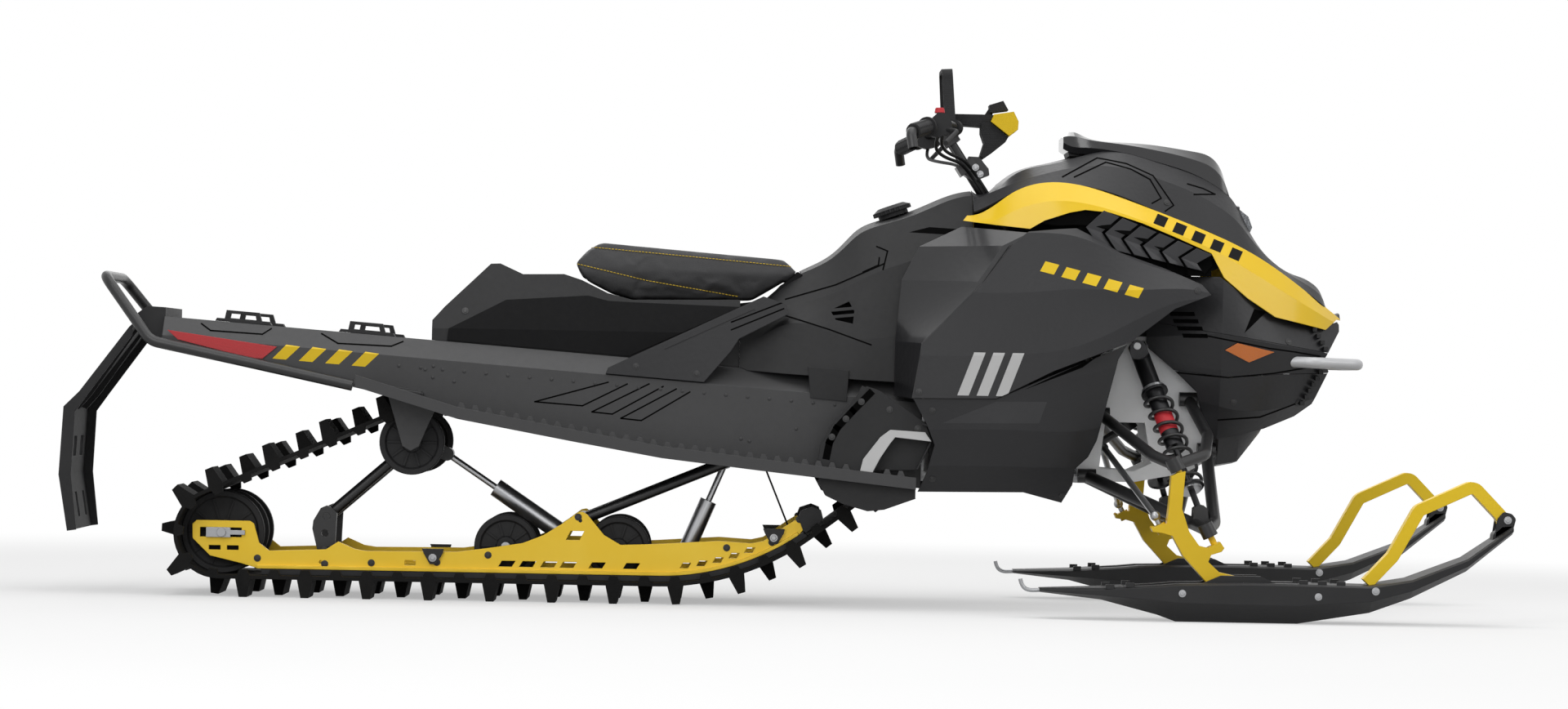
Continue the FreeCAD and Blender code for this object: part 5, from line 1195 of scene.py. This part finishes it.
    def build(self) -> None:
        """Dresses the panels."""
        self.blades()
        self.liners()
        self.nose_teeth()
        for node, name, finish, count, (dx, dz), corners in self.bar_rows:
            bars = [tuple((x + dx * k, z + dz * k) for x, z in corners) for k in range(count)]
            self.films(node, name, finish, bars)
        self.films("footwells", "bolt_band", "painted_shade_black", line_outlines(self.band_line, self.band))
        for node, name, finish, outlines in self.shade_and_highlight_films:
            self.films(node, name, finish, outlines)
        for node, lines in self.painted_shade_grooves:
            outlines = [part for line in lines for part in line_outlines(line, self.groove)]
            self.films(node, "painted_shade_grooves", "painted_shade_black", outlines)
        for node, points in self.screw_places:
            found = Probe(node_mesh(node)).both_sides(points)
            self.repeater.screws(f"{node}_screws", found, self.screw, "chassis", node)

    def films(self, node: str, name: str, finish: str, outlines: list[Line]) -> None:
        """Lays films on both sides of a panel.

        Args:
            node: The panel.
            name: What the films are.
            finish: Their finish.
            outlines: Convex side-view outlines.
        """
        for sign, word in SIDES:
            mesh = patch(node, outlines, sign)
            if mesh.polygons:
                new_piece(f"{node}_{name}_{word}", mesh, self.finishes.get(finish), "chassis")
            else:
                log.warning("%s_%s_%s is empty", node, name, word)

    def blades(self) -> None:
        """Folded louvre blades over the side vents, each tucked under the next."""
        probe = Probe(node_mesh("vent_panels"))
        for sign, word in SIDES:
            shape = bmesh.new()
            for k in range(self.blade_count):
                self.blade(shape, probe, k, sign)
            bmesh.ops.recalc_face_normals(shape, faces=shape.faces)
            new_piece(f"louvre_blades_{word}", keep(shape, "blades"), self.finishes.get("painted_light_louvre_nylon"),
                      "chassis")

    def blade(self, shape: bmesh.types.BMesh, probe: Probe, number: int, sign: int) -> None:
        """Adds one blade, a folded plate.

        Args:
            shape: The mesh that it goes into.
            probe: The vent's surface.
            number: Which blade, counted from the rear.
            sign: 1 for the left side, -1 for the right.
        """
        rows = [self.blade_row(probe, number + share, sign, rise)
                for share, rise in zip((0.0, self.blade_share), self.blade_rises)]
        outer, inner = ([[shape.verts.new(at(x, sign * (y - sunk), z)) for x, y, z in row] for row in rows]
                        for sunk in (0.0, self.blade_depth))
        for rear, front in (outer, inner):
            for i in (0, 1):
                shape.faces.new((rear[i], front[i], front[i + 1], rear[i + 1]))
        ring_out, ring_in = (skin[0] + skin[1][::-1] for skin in (outer, inner))
        for i in range(len(ring_out)):
            shape.faces.new((ring_out[i - 1], ring_out[i], ring_in[i], ring_in[i - 1]))

    def blade_row(self, probe: Probe, k: float, sign: int, rise: float) -> list[Point]:
        """The top, fold and bottom of a blade's rear or front edge.

        Args:
            probe: The vent's surface.
            k: Steps from the rear.
            sign: 1 for the left side, -1 for the right.
            rise: How far the edge stands out.

        Returns:
            Drawing points, with y from the centre plane.
        """
        row = []
        for (x, z), (dx, dz) in self.blade_lines:
            hit = probe.from_side(x + dx * k, z + dz * k, sign)
            y = abs(hit[0].y) / MM if hit else self.blade_y
            row.append((x + dx * k, max(y, self.blade_y) + rise, z + dz * k))
        return row

    def nose_teeth(self) -> None:
        """Edges of the front grille's slats, which stand proud of the nose."""
        hull = Probe(node_mesh("nose_panels"), node_mesh("nose_grille"))
        places = []
        for low, high in self.tooth_spans:
            for k in range(int((high - low) / self.tooth_pitch) + 1):
                for y in (-self.tooth_y, self.tooth_y):
                    hit = hull.shoot(at(FAR, y, low + k * self.tooth_pitch), Vector((-1, 0, 0)))
                    if hit:
                        places.append((hit[0], Vector((0, 1, 0))))
        self.repeater.bars("grille_teeth", places, self.tooth, "chassis", "nose_grille")

    def liners(self) -> None:
        """Walls behind the console's vents, bands and seat, near black as painted shade, and the rear
        bumper's flat ends.
        """
        walls = [slab_mesh(line, s * near, s * far) for line, near, far in self.vent_walls for s, _ in SIDES]
        walls += [slab_mesh(line, -half, half) for line, half in self.middle_walls]
        near, far = self.bumper_faces
        ends = [slab_mesh(self.bumper_end, s * near, s * far, self.bumper_edge) for s, _ in SIDES]
        for name, plates, finish, slot in (
                ("inner_walls", walls, "black_print_and_painted_shade_polypropylene", "console"),
                ("bumper_ends", ends, "black_powder_coated_steel", "rear_bumper")):
            new_piece(name, joined(plates), self.finishes.get(finish), "chassis")


@dataclass
class Chassis:
    """Rivets, bolts, wheel ribs and shock sleeves. Its points are drawing millimetres."""

    finishes: Finishes
    repeater: Repeater
    rivet: Head = Head(0.0042, 0.0012, "dark_coated_aluminium_sheet")
    rivet_start: Flat = (-1320, 549.12)        # the row of rivets under the tunnel's upper edge
    rivet_step: Flat = (48, -3.3712)
    rivet_count: int = 34
    rivet_gap: Flat = (-1150, -870)            # the slanted dashes lie there
    loose_rivets: Line = ((-765, 491), (-718, 483), (36, 393), (-85, 369), (-66, 364), (-782, 508),
                          (-764, 516))
    rail_bolt: Head = Head(0.008, 0.003, "black_powder_coated_steel")
    rail_bolts: Line = ((-442, 188), (-753, 82), (-12, 140), (-1001, 74), (-563, 88), (-898, 78), (-112, 126),
                        (48, 192), (-1150, 84), (-640, 100))
    clamp_bolt: Head = Head(0.009, 0.003, "zinc_plated_steel")
    clamp_bolts: Line = ((-762, 92), (-8, 150))
    rib_count: int = 10
    rib_y: float = 4.4                         # from the web's middle
    rib_half: float = 0.0022
    wheels: tuple[tuple[str, float, float, tuple[Point, ...]], ...] = (  # piece, hub and rim radius, centres
        ("idler_ribs", 27, 76, ((-1230, 100, 140),)),
        ("wheel_ribs", 23, 55, ((-811, 156, 347), (-602, 96, 119.3), (-353, 96, 119.3))),
    )
    shock_top: Point = (788, 150, 590)
    shock_low: Point = (910, 385, 232)
    sleeve_sides: int = 32
    sleeves: tuple[tuple[str, float, float, float, str], ...] = (  # name, share from and to, radius, finish
        ("collar", 0.262, 0.281, 0.0265, "clear_anodised_aluminium"),
        ("band", 0.42, 0.53, 0.0204, "red_switch_nylon"),
        ("lower_collar", 0.856, 0.875, 0.024, "clear_anodised_aluminium"),
    )

    def build(self) -> None:
        """Sets the rows of fasteners and the running gear's details."""
        self.fasteners()
        self.wheel_ribs()
        self.shock_sleeves()

    def fasteners(self) -> None:
        """Rivets on the tunnel, bolts on the rails and on their clamps."""
        (x, z), (dx, dz) = self.rivet_start, self.rivet_step
        row = [(x + dx * k, z + dz * k) for k in range(self.rivet_count)]
        row = [point for point in row if not self.rivet_gap[0] < point[0] < self.rivet_gap[1]]
        for name, node, points, head in (
                ("tunnel_rivets", "tunnel", (*row, *self.loose_rivets), self.rivet),
                ("rail_bolts", "slide_rails", self.rail_bolts, self.rail_bolt),
                ("clamp_bolts", "rail_sliders", self.clamp_bolts, self.clamp_bolt)):
            self.repeater.screws(name, Probe(node_mesh(node)).both_sides(points), head, "chassis", node)

    def wheel_ribs(self) -> None:
        """Radial ribs on both faces of the wheels' webs."""
        ways = [Vector((math.cos(a), 0, math.sin(a)))
                for a in (2 * math.pi * k / self.rib_count for k in range(self.rib_count))]
        for name, hub, rim, centres in self.wheels:
            places = [(at(x, sign * y + face * self.rib_y, z) + way * (hub + rim) / 2 * MM, way)
                      for x, y, z in centres for sign, _ in SIDES for face in (1, -1) for way in ways]
            rib = Bar((rim - hub) * MM, self.rib_half, "black_wheel_rubber")
            self.repeater.bars(name, places, rib, "chassis", "wheels")

    def shock_sleeves(self) -> None:
        """Collars and red band of the front shocks."""
        for sign, word in SIDES:
            top, low = (at(x, sign * y, z) for x, y, z in (self.shock_top, self.shock_low))
            for name, start, end, radius, finish in self.sleeves:
                mesh = rod_mesh(top.lerp(low, start), top.lerp(low, end), radius, self.sleeve_sides)
                new_piece(f"shock_{name}_{word}", mesh, self.finishes.get(finish), "chassis")


@dataclass
class Skis:
    """Bolts, clips, loop clevises and wear bars' tails of the skis. Its sizes are drawing millimetres."""

    finishes: Finishes
    repeater: Repeater
    centre: float = 467.5              # the ski's centre line, from the machine's
    pivot: Flat = (993, 75)
    pivot_half: float = 47.5           # from the ski's centre line to the pivot bolt's head
    pivot_bolt: Head = Head(0.011, 0.005, "zinc_plated_steel")
    side_bolts: Line = ((1150, 60), (860, 62))
    side_bolt: Head = Head(0.008, 0.003, "zinc_plated_steel")
    clip_places: tuple[float, ...] = (640, 669, 707, 750, 1120, 1160, 1200)
    clip_half: float = 58.0            # from the ski's centre line
    clip_rise: float = 0.003
    clip: Bar = Bar(0.018, 0.005, "black_ski_polyethylene")
    clevis: Line = ((1532, 190), (1573, 212), (1578, 232), (1569, 243), (1551, 247), (1538, 232))
    clevis_floor: Line = ((1528, 184), (1570, 207), (1572, 218), (1548, 216), (1530, 200))
    clevis_cheek: Flat = (17.6, 22.0)  # its inner and outer face, from the ski's centre line
    loop_bolts: tuple[Point, ...] = ((1560, 22.4, 229), (1272, 75.4, 74))      # y from the ski's centre line
    loop_bolt: Head = Head(0.0085, 0.003, "zinc_plated_steel")
    wear_tail: Line = ((590, 63), (556, 60), (534, 60), (522, 70), (519, 84))
    wear_radius: float = 0.0045
    wear_steps: int = 12

    def build(self) -> None:
        """Dresses both skis."""
        for sign, word in SIDES:
            y, body, slot = sign * self.centre, f"ski_assembly_{word}", f"ski_{word}"
            self.ends(word, y)
            x, z = self.pivot
            bolts = [(at(x, y + s * self.pivot_half, z), Vector((0, s, 0))) for s, _ in SIDES]
            self.repeater.screws(f"ski_bolt_{word}", bolts, self.pivot_bolt, body, slot)
            probe = Probe(node_mesh(slot))
            found = [hit for x, z in self.side_bolts if (hit := probe.from_side(x, z, sign))]
            self.repeater.screws(f"loop_bolts_{word}", found, self.side_bolt, body, slot)
            tops = [probe.shoot(at(x, y + s * self.clip_half, FAR), Vector((0, 0, -1)))
                    for x in self.clip_places for s, _ in SIDES]
            clips = [(top[0] + Vector((0, 0, self.clip_rise)), Vector((1, 0, 0))) for top in tops if top]
            self.repeater.bars(f"ridge_clips_{word}", clips, self.clip, body, slot)

    def ends(self, word: str, y: float) -> None:
        """Clevis that joins the loop handle to the ski's tip, its bolts, and the wear bar's upturned tail.

        Args:
            word: "left" or "right".
            y: The ski's centre line, in millimetres.
        """
        body, slot = f"ski_assembly_{word}", f"ski_{word}"
        inside, outside = self.clevis_cheek
        plates = [slab_mesh(self.clevis, y + s * inside, y + s * outside) for s, _ in SIDES]
        plates.append(slab_mesh(self.clevis_floor, y - outside, y + outside))
        plastic, zinc = (self.finishes.get(name) for name in ("black_ski_polyethylene", "zinc_plated_steel"))
        new_piece(f"tip_clevis_{word}", joined(plates), plastic, body)
        bolts = [(at(x, y + s * half, z), Vector((0, s, 0)))
                 for x, half, z in self.loop_bolts for s, _ in SIDES]
        self.repeater.screws(f"handle_bolts_{word}", bolts, self.loop_bolt, body, slot)
        route = [at(x, y, z) for x, z in self.wear_tail]
        hook = bent_tube("wear_bar", route, self.wear_radius, self.wear_steps)
        mesh = evaluated(hook)
        bpy.data.objects.remove(hook)
        new_piece(f"wear_bar_tail_{word}", mesh, zinc, body, smooth=True)


@dataclass
class Controls:
    """Grip ribs, switch, bolts and cables of the bar. Its points are drawing millimetres."""

    finishes: Finishes
    repeater: Repeater
    switch_place: Point = (337, -252, 1097)
    switch_sides: int = 28
    switch_radii: Flat = (0.012, 0.0095)       # below and above, in metres
    switch_height: float = 0.012
    switch_edge: float = 0.0012
    grip_bend: Point = (344, 215, 1074)
    grip_end: Point = (270, 372, 1042)
    ribbed: Flat = (0.52, 0.90)        # shares of the way from the bend to the end
    ring: Bar = Bar(0.0032, 0.0182, "black_wheel_rubber")
    ring_pitch: float = 0.0065
    riser_bolts: Line = ((429, 984), (440, 970))
    riser_bolt: Head = Head(0.008, 0.003, "zinc_plated_steel")
    sheath: float = 0.0075             # the cables' diameter, in metres
    cable_steps: int = 8
    measure_steps: int = 40            # a finer step count for a cable
    cables: tuple[tuple[str, tuple[Point, ...]], ...] = (
        ("throttle_cable", ((334, -250, 1040), (326, -232, 1016), (352, -150, 1000), (396, -62, 992),
                            (420, -26, 966), (441, -20, 938), (452, -18, 921))),
        ("brake_hose", ((334, 250, 1040), (326, 232, 1016), (350, 150, 1004), (396, 64, 994),
                        (420, 26, 966), (441, 20, 938), (452, 18, 921))),
        ("switch_loom", ((344, -244, 1042), (340, -226, 1024), (362, -146, 1008), (402, -58, 1000),
                         (427, -26, 973), (448, -20, 943), (459, -18, 926))),
    )

    def build(self) -> None:
        """Makes the switch, the ribs, the bolts and the cables."""
        self.switch()
        lines = []
        for sign, _ in SIDES:
            bend, end = (at(x, sign * y, z) for x, y, z in (self.grip_bend, self.grip_end))
            lines.append([bend.lerp(end, share) for share in self.ribbed])
        self.repeater.row("grip_ribs", lines, self.ring_pitch, self.ring, "steering", "bar_controls")
        found = Probe(node_mesh("riser")).both_sides(self.riser_bolts)
        self.repeater.screws("riser_bolts", found, self.riser_bolt, "steering", "riser")
        for name, route in self.cables:
            self.cable(name, [at(*point) for point in route])

    def switch(self) -> None:
        """Red stop switch on the right housing."""
        shape = bmesh.new()
        low, top = self.switch_radii
        bmesh.ops.create_cone(shape, cap_ends=True, segments=self.switch_sides, radius1=low, radius2=top,
                              depth=self.switch_height)
        bmesh.ops.bevel(shape, geom=shape.edges[:], offset=self.switch_edge, segments=2, affect="EDGES")
        bmesh.ops.translate(shape, verts=shape.verts, vec=at(*self.switch_place))
        red = self.finishes.get("red_switch_nylon")
        new_piece("stop_switch", keep(shape, "stop_switch"), red, "steering")

    def cable(self, name: str, route: list[Vector]) -> None:
        """A sheathed cable from the bar down beside the column.

        Args:
            name: The piece's name.
            route: A few points that it bends along.
        """
        cable = bent_tube(name, route, self.sheath / 2, self.cable_steps)
        cable.data.materials.append(self.finishes.get("black_cable_sheath"))
        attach(cable, "steering")


def main() -> None:
    """Builds the studio and every sub-assembly."""
    logging.basicConfig(level=logging.INFO, format="%(name)s: %(message)s")
    bpy.context.scene.view_settings.view_transform = "Standard"
    finishes = Finishes()
    repeater = Repeater(finishes)
    Studio().build()
    dress_nodes(finishes)
    for assembly in (Seat, Bodywork, Chassis, Skis, Controls):
        assembly(finishes, repeater).build()
    bpy.context.view_layer.update()


if __name__ == "__main__":
    main()
